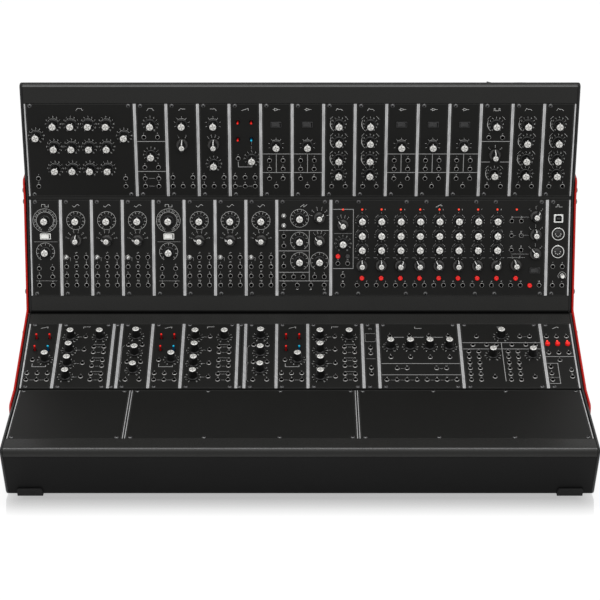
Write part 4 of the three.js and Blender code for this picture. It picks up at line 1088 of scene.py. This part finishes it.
# Wave signs as (x, y) from -1 to 1
waveShapes = {
    "sine": [(x, np.sin(pi * x)) for x in np.linspace(-1, 1, 17)],
    "triangle": [(-1, -1), (-0.33, 1), (0.33, -1), (1, 1)],
    "saw": [(-1, -1), (-0.02, 1), (0.02, -1), (1, 1)],
    "square": [(-1, -1), (-1, 1), (0, 1), (0, -1), (1, -1), (1, 1)],
    "pulse": [(-1, -1), (-0.5, -1), (-0.5, 1), (0, 1), (0, -1), (1, -1)],
    "lowPass": [(-1, 0.5), (0, 0.5), (0.25, 1), (0.45, 0.5), (0.9, -1)],
    "highPass": [(1, 0.5), (0, 0.5), (-0.25, 1), (-0.45, 0.5), (-0.9, -1)],
    "bandPass": [(-1, -1), (-0.5, 0.9), (0.5, 0.9), (1, -1)],
    "envelope": [(-1, -1), (-0.6, 1), (-0.2, 0.2), (0.5, 0.2), (1, -1)],
    "delay": [(-1, -1), (-0.9, -1), (-0.9, 1), (-0.6, 1), (-0.6, -1), (0.5, -1), (0.5, 1), (0.8, 1),
              (0.8, -1), (1, -1)],
    "stairs": [(-1, -1), (-0.6, -1), (-0.6, -0.4), (-0.2, -0.4), (-0.2, 0.2), (0.2, 0.2), (0.2, 0.8),
               (0.6, 0.8), (0.6, -0.1), (1, -0.1)],
    "fall": [(-1, 1), (-1, -1), (1, -1)],
    "bars": [(-1, -1), (-1, 1), (1, 1)],
    "ramp": [(-1, -1), (1, 1), (1, -1)],
}


def sign(kind, size=ink["signSize"], weight=ink["sign"]):
    return inkLine(np.array(waveShapes[kind]) * size / 2, weight)


def amplifierSign():
    weight = ink["sign"]
    triangle = inkLine([(-2.4, 1.7), (-2.4, -1.7), (2.2, 0)], weight, closed=True)
    return joined([triangle, inkLine([(-4.6, 0), (-2.7, 0)], weight), inkLine([(2.5, 0), (4.6, 0)], weight)])


def dotGrid(columns, rowsUp):
    low, high, radius, pitch = ink["lift"], ink["height"], ink["dotRadius"], ink["dotPitch"]
    dot = lathe([(0, low), (radius, low), (radius, high), (0, high)], 6, "ink")
    across, upward = [(np.arange(count) - (count - 1) / 2) * pitch for count in (columns, rowsUp)]
    x, y = np.meshgrid(across, upward)
    return repeated(dot, np.column_stack([x.ravel(), y.ravel()]))


# Panel layouts: width in units, and places as shares of the panel's width and height
def grid(columns, upward):
    return [(column, row) for row in upward for column in columns]


def styled(style, *places):
    return [(x, y, style) for x, y in places]


def across(heights, start=0.045, stop=0.955):  # level lines
    return [[(start, y), (stop, y)] for y in heights]


def dashes(starts, y, length):  # short level lines side by side
    return [[(x, y), (x + length, y)] for x in starts]


def upright(columns, top, foot):
    return [[(x, top), (x, foot)] for x in columns]


def endScrews(*distances):  # screws at the top and at the foot
    return [(x, top) for x in distances for top in (True, False)]


threeColumns = [0.165, 0.485, 0.805]
outerColumns = [0.165, 0.805]
pairColumns = [0.27, 0.706]
lowRow = 0.112
stepCount, stepPitch, firstStep, stepJack = 8, 0.0893, 0.1447, 0.0224
steps = [firstStep + stepPitch * number for number in range(stepCount)]
outputColumn = firstStep + stepPitch * stepCount
middle = 0.487

layouts = {
    "filterBank": {
        "units": 28, "sign": "bandPass",
        "knobs": styled("bank", *grid([0.257, 0.417, 0.577, 0.738], [0.784, 0.542, 0.306]),
                        *grid([0.097, 0.898], [0.661])),
        "knobTurns": [0, 30, 70, 95, 15, -25, 45, 0, 30, 0, -20, 50, -10, 45],
        "jacks": grid([0.096, 0.898], [0.197, 0.111]),
    },
    "filters": {
        "units": 8, "sign": "bandPass", "knobs": styled("plain", (middle, 0.784), (middle, 0.456)),
        "jacks": grid(pairColumns, [0.643, 0.318, 0.197, lowRow]),
        "lines": across([0.597, 0.273]), "fineLines": across([0.197, 0.112], 0.39, 0.585),
    },
    "highPass": {
        "units": 8, "sign": "highPass", "knobs": styled("fixed", (middle, 0.784)),
        "selectors": styled("twoWay", (middle, 0.565)), "selectorTurns": [-17],
        "jacks": grid(outerColumns, [0.208]) + grid(threeColumns, [lowRow]),
    },
    "lowPass": {
        "units": 8, "sign": "lowPass",
        "knobs": styled("fixed", (middle, 0.784)) + styled("plain", (middle, 0.358)),
        "selectors": styled("fiveWay", (middle, 0.565)), "selectorTurns": [-30],
        "jacks": grid(outerColumns, [0.208]) + grid(threeColumns, [lowRow]),
    },
    "controlVoltage": {
        "units": 8, "sign": "ramp", "redLevers": [(0.27, 0.81), (0.7, 0.81), (0.27, 0.628)],
        "blueLevers": [(0.7, 0.628)], "knobs": styled("plain", (0.706, 0.413)),
        "jacks": [(0.27, 0.413)] + grid(threeColumns, [0.208, lowRow]),
        "lines": [[(0.272, 0.38), (0.272, 0.322), (0.704, 0.322), (0.704, 0.342)]],
        "fineLines": upright([0.7], 0.59, 0.565) + upright([0.7], 0.545, 0.515)
        + dashes([0.26, 0.58], lowRow, 0.13),
    },
    "amplifier": {
        "units": 8, "sign": "amplifier", "rockers": [(middle, 0.778)],
        "knobs": styled("fixed", (middle, 0.556)),
        "jacks": grid(pairColumns, [0.393, 0.3, 0.196]) + [(middle, lowRow)],
        "lines": across([0.462, 0.261]) + upright([0.49], 0.462, 0.261),
    },
    "envelope": {
        "units": 8, "sign": "envelope",
        "knobs": styled("time", (middle, 0.783), (middle, 0.6), (middle, 0.412))
        + styled("plain", (middle, 0.251)),
        "jacks": grid(pairColumns, [lowRow]),
    },
    "triggerDelay": {
        "units": 8, "sign": "delay", "knobs": styled("time", (middle, 0.782), (middle, 0.252)),
        "selectors": styled("threeWay", (middle, 0.455)), "selectorTurns": [0],
        "jacks": grid(pairColumns, [0.64, lowRow]),
        "lines": across([0.597]) + across([0.375], 0.045, 0.34) + across([0.375], 0.66, 0.955),
    },
    "driver": {
        "units": 8, "sign": "square",
        "knobs": styled("wideTuning", (middle, 0.784)) + styled("openTuning", (middle, 0.459)),
        "whiteRockers": [(0.497, 0.62)], "jacks": grid(pairColumns, [0.286, 0.2, 0.113]),
        "fineLines": across([0.157], 0.16, 0.84) + across([0.564], 0.12, 0.88),
    },
    "oscillator": {
        "units": 8, "sign": "sine", "knobs": styled("tuning", (middle, 0.784)),
        "selectors": styled("range", (middle, 0.58)), "selectorTurns": [-75],
        "smallLevers": [(0.165, 0.404)],
        "jacks": grid(threeColumns, [0.113, 0.209, 0.306]) + grid([0.485, 0.805], [0.403]),
        "waves": [("sine", 0.485, 0.45), ("triangle", 0.485, 0.355), ("saw", 0.485, 0.258),
                  ("square", 0.485, 0.16)],
        "fineLines": upright([0.805], 0.375, 0.335) + upright([0.805], 0.182, 0.138)
        + [[(0.06, 0.43), (0.06, 0.378), (0.1, 0.378)], [(0.24, 0.4), (0.29, 0.4), (0.29, 0.365)]],
    },
    "wideOscillator": {
        "units": 14, "sign": "saw", "smallLevers": [(0.128, 0.833), (0.128, 0.733)],
        "knobs": styled("tuning", (0.42, 0.808))
        + styled("openTuning", (0.42, 0.571), (0.42, 0.361), (0.79, 0.361)),
        "selectors": styled("range", (0.788, 0.814)) + styled("fiveWay", (0.788, 0.573)),
        "selectorTurns": [48, -48],
        "jacks": grid([0.128], [0.622, 0.522, 0.411, 0.311])
        + grid([0.13, 0.309, 0.486, 0.7, 0.879], [0.2]) + grid([0.13, 0.378, 0.63, 0.879], [0.113]),
        "lines": across([0.682], 0.035, 0.965) + upright([0.601], 0.682, 0.16)
        + across([0.47, 0.247], 0.035, 0.6) + across([0.157], 0.035, 0.965),
        "waves": [("sine", 0.13, 0.069), ("triangle", 0.378, 0.069), ("saw", 0.63, 0.069),
                  ("square", 0.879, 0.069)],
    },
    "midi": {
        "units": 6, "sign": "pulse", "usbSockets": [(0.492, 0.806)],
        "dinSockets": [(0.492, 0.645), (0.492, 0.461)], "smallKnobs": [(0.7, 0.211)],
        "jacks": grid([0.29, 0.7], [0.307, 0.111]), "dials": styled("small", (0.7, 0.211)),
    },
    "controller": {
        "units": 8, "sign": "ramp", "redLevers": [(0.305, 0.762), (0.725, 0.762), (0.305, 0.577)],
        "blueLevers": [(0.725, 0.577)], "knobs": styled("level", (0.669, 0.433)),
        "jacks": [(0.273, 0.426)] + grid(threeColumns, [0.223, 0.126]),
        "lines": [[(0.285, 0.374), (0.285, 0.327), (0.72, 0.327), (0.72, 0.35)]],
        "fineLines": dashes([0.26, 0.58], 0.126, 0.13),
    },
    "mixer": {
        "units": 14, "sign": "bars",
        "knobs": styled("level", *grid([0.221], [0.784, 0.577, 0.372, 0.17]), (0.756, 0.784)),
        "jacks": grid([0.495], [0.792, 0.586, 0.378, 0.173])
        + grid([0.668, 0.851], [0.631, 0.546, 0.422, 0.335, 0.214, 0.126]),
        "fineLines": across([0.789, 0.583, 0.376, 0.171], 0.35, 0.43)
        + across([0.631, 0.546, 0.422, 0.335, 0.214, 0.126], 0.73, 0.79)
        + across([0.67, 0.463, 0.254], 0.68, 0.84),
    },
    "spacer": {"units": 2, "screws": endScrews(3.9)},
    "plain": {"units": 28, "edge": (0.85, 1.95), "screws": endScrews(6.7, 133.8)},
    "widePlain": {"units": 56, "edge": (0.85, 1.95), "screws": endScrews(8.0, 97.2, 188.6, 277.2)},
    "attenuators": {
        "units": 8, "sign": "fall",
        "knobs": styled("level", (middle, 0.798), (middle, 0.535), (middle, 0.27)),
        "jacks": grid(pairColumns, [0.659, 0.3945, 0.126]),
        "fineLines": [[(0.142, 0.655), (0.07, 0.62), (0.07, 0.4), (0.11, 0.385), (0.07, 0.37),
                       (0.07, 0.13), (0.13, 0.1)]],
    },
    "multiple": {
        "units": 4, "jacks": grid([0.5], [0.613, 0.528, 0.304, 0.214]),
        "fineLines": [[(0.18, 0.715), (0.18, 0.843), (0.84, 0.843), (0.84, 0.715), (0.18, 0.715)]]
        + across([0.449], 0.2, 0.8) + upright([0.5], 0.588, 0.553) + upright([0.5], 0.279, 0.239),
        "dots": [(0.5, 0.92, 3, 2)],
    },
    "wideAttenuators": {
        "units": 21, "sign": "fall",
        "knobs": styled("level", *grid([0.148, 0.387, 0.625, 0.863], [0.6335])),
        "jacks": grid([0.147, 0.385, 0.622, 0.86], [0.8, 0.468])
        + grid([0.215, 0.333, 0.689, 0.808], [0.298])
        + grid([0.086, 0.206, 0.325, 0.445, 0.564, 0.683, 0.802, 0.92], [0.124]),
        "lines": across([0.375, 0.204], 0.025, 0.975) + dashes([0.192, 0.43, 0.668], 0.784, 0.128),
        "fineLines": upright([0.147, 0.385, 0.622, 0.86], 0.52, 0.5)
        + dashes([0.126, 0.245, 0.365, 0.603, 0.722, 0.84], 0.124, 0.04)
        + dashes([0.255, 0.728], 0.298, 0.04),
    },
    "matrixMixer": {
        "units": 21, "dots": [(0.5, 0.938, 4, 3)],
        "knobs": styled("level", (0.507, 0.794), (0.382, 0.5), (0.864, 0.5)),
        "jacks": grid([0.206, 0.736, 0.855], [0.792])
        + grid([0.154, 0.32, 0.439, 0.627, 0.797, 0.916], [0.661])
        + grid([0.095, 0.2145, 0.571, 0.69], [0.556, 0.47, 0.383, 0.3, 0.21, 0.124])
        + grid([0.38, 0.858], [0.17]),
        "lines": across([0.699, 0.601], 0.025, 0.975) + [[(0.501, 0.697), (0.506, 0.105)]],
        "fineLines": across([0.792], 0.775, 0.815),
    },
    "sequentialSwitch": {
        "units": 8, "sign": "stairs", "buttons": grid(threeColumns, [0.672]),
        "lamps": grid(threeColumns, [0.72]),
        "jacks": grid(threeColumns, [0.792, 0.538]) + [(0.485, 0.423)]
        + grid([0.165], [0.319, 0.22, 0.124]) + grid([0.805], [0.27, 0.17]),
        "lines": across([0.483]) + [[(0.055, 0.379), (0.4, 0.379), (0.4, 0.074), (0.055, 0.074)]],
        "fineLines": across([0.164], 0.055, 0.4) + upright([0.805], 0.24, 0.2),
    },
    "sequencer": {
        "units": 56, "sign": "stairs",
        "screws": endScrews(7.9, 36.4, 99.4, 125.4, 190.9, 216.6, 276.9),
        "lamps": grid(steps, [0.898]) + [(outputColumn, 0.898), (0.056, 0.898)],
        "figures": [(x + 0.017, 0.898, number + 1) for number, x in enumerate(steps)],
        "knobs": styled("steps", *grid(steps, [0.784, 0.633, 0.486])) + styled("clock", (0.056, 0.548)),
        "knobTurns": [0, 20, 12, 105, 8, 62, 4, -70, 0, -8, 15, -92, -88, 10, 38, 0, 0, 24, 6, 0, -6, 14,
                      -30, 0, 95],
        "selectors": styled("stepMode", *grid(steps, [0.318])) + styled("twoWay", (outputColumn, 0.323))
        + styled("fiveWay", (0.056, 0.738)) + styled("threeWay", *grid([0.948], [0.827, 0.638, 0.441])),
        "selectorTurns": [0, 0, 30, -30, -30, 0, -30, 35, -15, -47, 35, 0, -35],
        "buttons": grid(steps, [0.186]) + [(outputColumn, 0.186), (0.033, 0.414), (0.925, 0.11)],
        "darkButtons": [(0.078, 0.414)], "rockers": [(0.948, 0.266)],
        "jacks": grid([x + side * stepJack for x in steps + [outputColumn] for side in (-1, 1)], [lowRow])
        + grid([outputColumn - stepJack, outputColumn + stepJack], [0.78, 0.629, 0.479])
        + grid([0.033, 0.078], [0.339]) + grid([0.056], [0.209, 0.113]) + [(0.969, 0.112)],
        "lines": [[(0.009, 0.9), (0.104, 0.9), (0.104, 0.286), (0.009, 0.286)]],
        "fineLines": across([0.65], 0.015, 0.098) + across([0.82, 0.437], 0.835, 0.917)
        + across([0.629], 0.846, 0.857) + across([0.632], 0.88, 0.917) + across([0.4], 0.82, 0.9)
        + dashes([x + side for side in (-0.036, 0.02) for x in steps], 0.398, 0.016),
    },
}

# Banks: the plain solid that a run of modules stands for, and the controls that move by themselves
banks = {
    "filterBank": {"node": "filter_bank_module", "row": "upperBack", "modules": ["filterBank"],
                   "moving": {(0, "knobs", 0): "filter_bank_knob"}},
    "filterAmplifier": {
        "node": "filter_and_amplifier_modules", "row": "upperBack",
        "modules": ["filters", "highPass", "lowPass", "controlVoltage", "amplifier", "amplifier",
                    "envelope", "envelope", "amplifier", "amplifier", "amplifier", "triggerDelay",
                    "envelope", "envelope"],
        "moving": {(1, "selectors", 0): "high_pass_selector", (2, "selectors", 0): "low_pass_selector",
                   (3, "redLevers", 0): "red_toggle", (3, "blueLevers", 0): "blue_toggle",
                   (4, "rockers", 0): "amplifier_rocker", (4, "knobs", 0): "amplifier_knob",
                   (6, "knobs", 0): "attack_knob", (6, "knobs", 1): "decay_knob",
                   (6, "knobs", 2): "sustain_knob", (6, "knobs", 3): "release_knob",
                   (11, "selectors", 0): "delay_selector"},
    },
    "oscillator": {
        "node": "oscillator_modules", "row": "upperFront",
        "modules": (["driver"] + ["oscillator"] * 3) * 2 + ["wideOscillator"],
        "moving": {(0, "knobs", 0): "driver_knob", (0, "whiteRockers", 0): "white_driver_rocker",
                   (1, "knobs", 0): "oscillator_knob", (1, "selectors", 0): "range_selector",
                   (1, "smallLevers", 0): "sync_toggle"},
    },
    "sequencer": {"node": "sequencer_module", "row": "upperFront", "modules": ["sequencer"],
                  "moving": {(0, "knobs", 0): "step_knob", (0, "selectors", 0): "step_selector",
                             (0, "buttons", 0): "step_button", (0, "rockers", 0): "sequencer_rocker"}},
    "midi": {"node": "midi_module", "row": "upperFront", "modules": ["midi"]},
    "leftMixer": {"node": "left_mixer_modules", "row": "lowerBack",
                  "modules": ["controller", "mixer", "spacer", "attenuators"],
                  "moving": {(0, "redLevers", 0): "controller_toggle", (0, "knobs", 0): "controller_knob",
                             (1, "knobs", 0): "mixer_knob", (3, "knobs", 0): "attenuator_knob"}},
    "middleMixer": {"node": "middle_mixer_modules", "row": "lowerBack",
                    "modules": ["controller", "mixer", "spacer", "attenuators"]},
    "rightMixer": {"node": "right_mixer_modules", "row": "lowerBack",
                   "modules": ["controller", "mixer", "multiple", "wideAttenuators", "matrixMixer",
                               "sequentialSwitch"],
                   "moving": {(4, "knobs", 0): "matrix_knob", (5, "buttons", 0): "switch_button"}},
    "leftBlank": {"node": "left_blank_panel", "row": "lowerFront", "modules": ["plain"]},
    "middleBlank": {"node": "middle_blank_panel", "row": "lowerFront", "modules": ["widePlain"]},
    "rightBlank": {"node": "right_blank_panel", "row": "lowerFront", "modules": ["widePlain"]},
}


# How each kind of control is dressed: its skins, its slot, what stays on the panel, and its hole
potHole, buttonHole, leverHole, jackHole = circle(3.4, 12), circle(3.4, 14), circle(3.2, 12), circle(2.9, 12)
rockerHole = rectangle(rocker["length"] - 0.6, rocker["width"] - 0.6)
longLever = (lever["height"], lever["tipRadius"])
smallLever = (lever["smallHeight"], lever["smallTipRadius"])


def leverKind(slot, finish, size, collarFinish, collar):
    return {"skin": leverSkin(*size, finish, collar), "slot": slot,
            "base": collarSkin(collarFinish, collar), "hole": leverHole}


def rockerKind(slot, finish):
    return {"skin": paddleSkin(rocker, finish), "slot": slot, "base": rockerFrameSkin(rocker, finish),
            "hole": rockerHole}


controlKinds = {
    "knobs": {"skin": knobSkin(), "slot": "knob", "hole": potHole},
    "selectors": {"skin": selectorSkin(), "slot": "knob", "hole": potHole},
    "redLevers": leverKind("red_lever", "redLeverTone", longLever, "panelCoat", lever["lowCollar"]),
    "blueLevers": leverKind("blue_lever", "blueLeverTone", longLever, "panelCoat", lever["lowCollar"]),
    "smallLevers": leverKind("steel", "brightNickel", smallLever, "nickel", lever["collarHeight"]),
    "rockers": rockerKind("black_plastic", "blackPlastic"),
    "whiteRockers": rockerKind("white_plastic", "whitePlastic"),
    "buttons": {"skin": buttonSkin(), "slot": "red_button", "hole": buttonHole},
    "darkButtons": {"skin": buttonSkin("blackPlastic"), "slot": "black_plastic", "hole": buttonHole},
    "smallKnobs": {"skin": smallKnobSkin(), "slot": "steel"},
    "lamps": {"skin": lampSkin("lampRed"), "slot": "red_button"},
    "dinSockets": {"skin": dinSkin(), "slot": "black_plastic"},
    "usbSockets": {"skin": usbSkin(), "slot": "steel"},
    "jacks": {"skin": jackSkin(), "slot": "steel", "hole": jackHole},
}
panel = {
    # the inset of the painted edge light runs round each panel
    "bevel": 0.25, "edge": (0.05, 1.85), "edgeInset": 0.35, "edgeLightInset": (0.8, 3.3), "screwInset": 3.0,
    "leftScrew": 7.5, "rightScrew": 7.9, "wideUnits": 14, "titleShare": 0.937, "figureRise": 5.1,
    "waveGap": 3.0, "edgeLevels": (-0.3, 0.03),
}


def camel(node):
    words = node.split("_")
    return words[0] + "".join(word.capitalize() for word in words[1:])


# The screws at the panel's ends: (distance from the left edge, height)
def screwPlaces(layout, width):
    sides = [panel["leftScrew"]]
    if layout["units"] >= panel["wideUnits"]:
        sides.append(width - panel["rightScrew"])
    low, high = panel["screwInset"], case["panelHeight"] - panel["screwInset"]
    return [(x, high if top else low) for x, top in layout.get("screws", endScrews(*sides))]


# All of a module's print, and a painted edge light round it: dials, lines, wave signs, and a plain figure
# over each jack that has no sign
def modulePrint(layout, width):
    height = case["panelHeight"]
    size = np.array([width, height])
    marks = []
    for kind in ("knobs", "selectors", "dials"):
        for x, y, style in layout.get(kind, []):
            marks.append(repeated(dialPrints[style], np.array([x, y]) * size))
    for key, weight in (("lines", ink["line"]), ("fineLines", ink["fineLine"])):
        marks += [inkLine(np.array(path) * size, weight, "lineInk") for path in layout.get(key, [])]
    # a faint lighter line round the panel, painted edge light along its edges
    low, side = panel["edgeLightInset"]
    left, right, top = side, width - side, height - low
    border = [(left, low), (right, low), (right, top), (left, top)]
    marks.append(inkLine(border, ink["frame"], "paintedEdgeLight", closed=True))
    waves = layout.get("waves", [])
    for kind, x, y in waves:
        small = sign(kind, ink["smallSize"], ink["smallSign"])
        marks.append(repeated(small, np.array([x, y]) * size))
    for x, y, columns, rowsUp in layout.get("dots", []):
        marks.append(repeated(dotGrid(columns, rowsUp), np.array([x, y]) * size))
    farOff = [[9, 9]]  # where no figure comes near
    signs = np.array([[x, y] for kind, x, y in waves] or farOff) * size
    for number, place in enumerate(layout.get("jacks", [])):
        spot = np.array(place) * size + [0, panel["figureRise"]]
        if np.abs(signs - spot).max(axis=1).min() > panel["waveGap"]:
            marks.append(repeated(figures[number % jackNumbers + 1], spot))
    if "sign" in layout:
        title = amplifierSign() if layout["sign"] == "amplifier" else sign(layout["sign"])
        marks.append(repeated(title, [width / 2, panel["titleShare"] * height]))
    for x, y, number in layout.get("figures", []):
        marks.append(repeated(figures[number], np.array([x, y]) * size))
    return joined(marks)


# The bare metal edges: two strips the height of the panel, just proud of its face
def bareEdges(layout, width):
    start, stop = layout.get("edge", panel["edge"])
    low, high = panel["edgeInset"], case["panelHeight"] - panel["edgeInset"]
    strips = []
    for fromX, toX in ((start, stop), (width - stop, width - start)):
        middleX, middleY = (fromX + toX) / 2, (low + high) / 2
        strip = rectangle(toX - fromX, high - low, centre=(middleX, middleY))
        strips.append(tower(strip, [(0, level) for level in panel["edgeLevels"]], "edgeMetal"))
    return strips


def moved(shape, x):
    return {**shape, "points": shape["points"] + [x, 0, 0]}


# The controls of one module: its holes, and each skin in the bank's lists or a piece of its own
def placeControls(bank, number, layout, size, left, gathered):
    holes = []
    for control, values in controlKinds.items():
        places = [np.array(place[:2]) * size for place in layout.get(control, [])]
        if not places:
            continue
        turns = np.array(layout.get(control[:-1] + "Turns", [0] * len(places)), float)
        if "hole" in values:
            holes += [values["hole"] + place - [case["clearance"] / 2, 0] for place in places]
        if "base" in values:
            gathered.setdefault("bases", []).append(moved(repeated(values["base"], places), left))
        for place, (spot, turn) in enumerate(zip(places, turns)):
            node = bank.get("moving", {}).get((number, control, place))
            if node:  # rests at its joint's zero
                shape = onPanel(moved(repeated(values["skin"], spot), left), bank["row"])
                makePiece(camel(node), shape, node, [node])
            else:
                shape = moved(repeated(values["skin"], spot, turn), left)
                gathered.setdefault(control, []).append(shape)
    return holes


# Panels one by one, then each kind of control of the whole bank as one piece, and the moving ones
def makeBank(name, bank, left, seen):
    gap = case["clearance"] / 2
    gathered = {"prints": [], "screws": []}
    for number, kind in enumerate(bank["modules"]):
        layout = layouts[kind]
        width = layout["units"] * case["unitWidth"]
        size = np.array([width, case["panelHeight"]])
        holes = placeControls(bank, number, layout, size, left, gathered)
        face = plate(width - 2 * gap, size[1], case["panelThickness"], panel["bevel"], holes, "panelCoat")
        strips = [moved(strip, left) for strip in bareEdges(layout, width)]
        shape = joined([moved(face, left + gap)] + strips)
        seen[kind] = seen.get(kind, 0) + 1
        title = kind + "Panel" + str(seen[kind]) if len(bank["modules"]) > 1 else name + "Panel"
        makePiece(title, onPanel(shape, bank["row"]), "case", [bank["node"]])
        gathered["prints"].append(moved(modulePrint(layout, width), left))
        screws = repeated(socketScrew(**panelScrew), screwPlaces(layout, width))
        gathered["screws"].append(moved(screws, left))
        left += width
    for control, shapes in gathered.items():
        pieceName = name + control[0].upper() + control[1:]
        makePiece(pieceName, onPanel(joined(shapes), bank["row"]), "case")
    return left


rowStarts = {row: -rowWidth / 2 for row in rows}
seenPanels = {}
for name, bank in banks.items():
    rowStarts[bank["row"]] = makeBank(name, bank, rowStarts[bank["row"]], seenPanels)
    print("bank made:", name)

# Rear wall: power rockers and the bright ring of each power socket
rearFittings = {
    "drop": 38.0, "socketInset": 70.0, "spacing": 34.0, "socketRadius": 4.6, "bore": 3.15, "rise": 2.0,
}


# Wall coordinates to the section: x runs the other way, y up the wall, z out of it
def onRearWall(shape, upper):
    r = rearFittings
    middle = along(rearNose, rearHeading, noseTangent + case["lipLength"] + r["drop"])
    upwards, out = heading(rearHeading + 180), heading(rearHeading + 90)
    x, y, z = shape["points"].T
    section = middle + y[:, None] * upwards + z[:, None] * out
    return inPlace({**shape, "points": np.column_stack([-x, section])}, upper)


def makeRear():
    r = rearFittings
    end = cheekInner - case["clearance"]
    socketX = r["socketInset"] - end
    radius, bore, wall, top = r["socketRadius"], r["bore"], r["rise"] - 0.2, r["rise"] + 0.3
    profile = [(0, wall), (radius, wall), (radius, top), (bore, top), (bore, wall + 0.1), (0, wall + 0.1)]
    rim = lathe(profile, 20, ["nickel"] * 4 + ["holeBlack"])
    paddle = paddleSkin(powerRocker, "blackPlastic")
    for side, upper in (("lower", False), ("upper", True)):
        makePiece(side + "SocketRing", onRearWall(moved(rim, socketX), upper), "case")
        shape = onRearWall(moved(paddle, socketX + r["spacing"]), upper)
        node = side + "_power_rocker"
        makePiece(side + "PowerRocker", shape, node, [node])


makeRear()

# The solids that stay as they are get their finishes
for node, finish in (("shell", "caseCoat"), ("center_rail", "railBlack"), ("power_board", "boardGreen")):
    for side in ("lower_", "upper_"):
        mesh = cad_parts[side + node].data
        mesh.materials.clear()
        mesh.materials.append(finishes[finish])
print("pieces made:", pieceCount)

# Floor, light and camera
studio = {
    "floorSize": 14.0, "floorLevel": 0.9, "floorRoughness": 0.6, "floorSpecular": 0.1, "floorGlow": 0.85,
    "glowLevel": 1.08, "mirror": 0.515, "mirrorInset": 0.0295, "mirrorReach": 0.06, "mirrorBlur": 0.04,
    "skyLight": 0.55,
}
lamps = {
    "overheadLamp": {"place": (0, -0.26, 2.6), "target": (0, -0.15, 0.2), "size": (2.8, 0.6), "power": 31.0},
    "frontLamp": {"place": (0, -4.0, 2.6), "target": (0, 0, 0.25), "size": (5.0, 2.2), "power": 113.0},
}
white = (1, 1, 1, 1)


def mixShader(tree, share, first, second):
    return addNode(tree, "ShaderNodeMixShader", [share, first, second]).outputs["Shader"]


def maths(tree, operation, *values):
    return addNode(tree, "ShaderNodeMath", values, operation=operation).outputs["Value"]


# A flat floor, seen white; near the object it mirrors it a little, less and less with the
# distance from the footprint
def makeFloor():
    half = studio["floorSize"] / 2
    mesh = bpy.data.meshes.new("floor")
    corners = [(-half, -half, 0), (half, -half, 0), (half, half, 0), (-half, half, 0)]
    mesh.from_pydata(corners, [], [(0, 1, 2, 3)])
    tree, shader = startFinish("floorWhite", studio["floorRoughness"], studio["floorSpecular"])
    shader.inputs["Base Color"].default_value = (*[studio["floorLevel"]] * 3, 1)
    lit = shader.outputs["BSDF"]
    glow = addNode(tree, "ShaderNodeEmission", {"Strength": studio["glowLevel"]}).outputs["Emission"]
    mirror = addNode(tree, "ShaderNodeBsdfGlossy", {"Roughness": studio["mirrorBlur"]}).outputs["BSDF"]
    seen = mixShader(tree, studio["floorGlow"], lit, glow)
    seen = mixShader(tree, footprintFade(tree), seen, mirror)
    surface = mixShader(tree, directRay(tree), lit, seen)
    tree.links.new(surface, tree.nodes["Material Output"].inputs["Surface"])
    mesh.materials.append(finishes["floorWhite"])
    floor = bpy.data.objects.new("floor", mesh)
    bpy.context.scene.collection.objects.link(floor)


def directRay(tree):  # 1 where the camera, a mirror or a glass looks
    path = addNode(tree, "ShaderNodeLightPath").outputs
    first = maths(tree, "MAXIMUM", path["Is Camera Ray"], path["Is Glossy Ray"])
    return maths(tree, "MAXIMUM", first, path["Is Transmission Ray"])


# mirror (1 - d / reach), where d is how far a floor point lies outside the inset footprint
def footprintFade(tree):
    place = addNode(tree, "ShaderNodeTexCoord").outputs["Object"]
    split = addNode(tree, "ShaderNodeSeparateXYZ", [place]).outputs
    squares = []
    for axis in (0, 1):
        low, high = cadBounds[0][axis], cadBounds[1][axis]
        offset = maths(tree, "ABSOLUTE", maths(tree, "SUBTRACT", split[axis], (low + high) / 2))
        beyond = maths(tree, "SUBTRACT", offset, (high - low) / 2 - studio["mirrorInset"])
        squares.append(maths(tree, "POWER", maths(tree, "MAXIMUM", beyond, 0.0), 2.0))
    distance = maths(tree, "SQRT", maths(tree, "ADD", *squares))
    share = maths(tree, "SUBTRACT", 1.0, maths(tree, "DIVIDE", distance, studio["mirrorReach"]))
    return maths(tree, "MULTIPLY", studio["mirror"], maths(tree, "MAXIMUM", share, 0.0))


def makeWorld():
    world = bpy.data.worlds.new("studioSky")
    bpy.context.scene.world = world
    world.use_nodes = True
    tree = world.node_tree
    light = tree.nodes["Background"]
    light.inputs["Color"].default_value = white
    light.inputs["Strength"].default_value = studio["skyLight"]
    plain = addNode(tree, "ShaderNodeBackground", {"Color": white, "Strength": 1.0})
    sky = mixShader(tree, directRay(tree), light.outputs["Background"], plain.outputs["Background"])
    tree.links.new(sky, tree.nodes["World Output"].inputs["Surface"])


def makeLamp(name, place, target, size, power):
    lampData = bpy.data.lights.new(name, "AREA")
    lampData.shape = "RECTANGLE"
    lampData.size, lampData.size_y = size
    lampData.energy = power
    lampObject = bpy.data.objects.new(name, lampData)
    lampObject.location = place
    lampObject.rotation_euler = (Vector(target) - Vector(place)).to_track_quat("-Z", "Y").to_euler()
    bpy.context.scene.collection.objects.link(lampObject)


view = {"place": (0.0, -2.4943, 1.0022), "pitch": 18.014, "lens": 122.67, "sensor": 36.0}


def makeCamera():
    cameraData = bpy.data.cameras.new("photoCamera")
    cameraData.lens = view["lens"]
    cameraData.sensor_width = view["sensor"]
    camera = bpy.data.objects.new("photoCamera", cameraData)
    camera.location = view["place"]
    camera.rotation_euler = (radians(90 - view["pitch"]), 0, 0)
    bpy.context.scene.collection.objects.link(camera)
    bpy.context.scene.camera = camera


makeFloor()
makeWorld()
for name, values in lamps.items():
    makeLamp(name, **values)
makeCamera()
bpy.context.scene.view_settings.view_transform = "Standard"

print("scene ready:", pieceCount, "pieces")
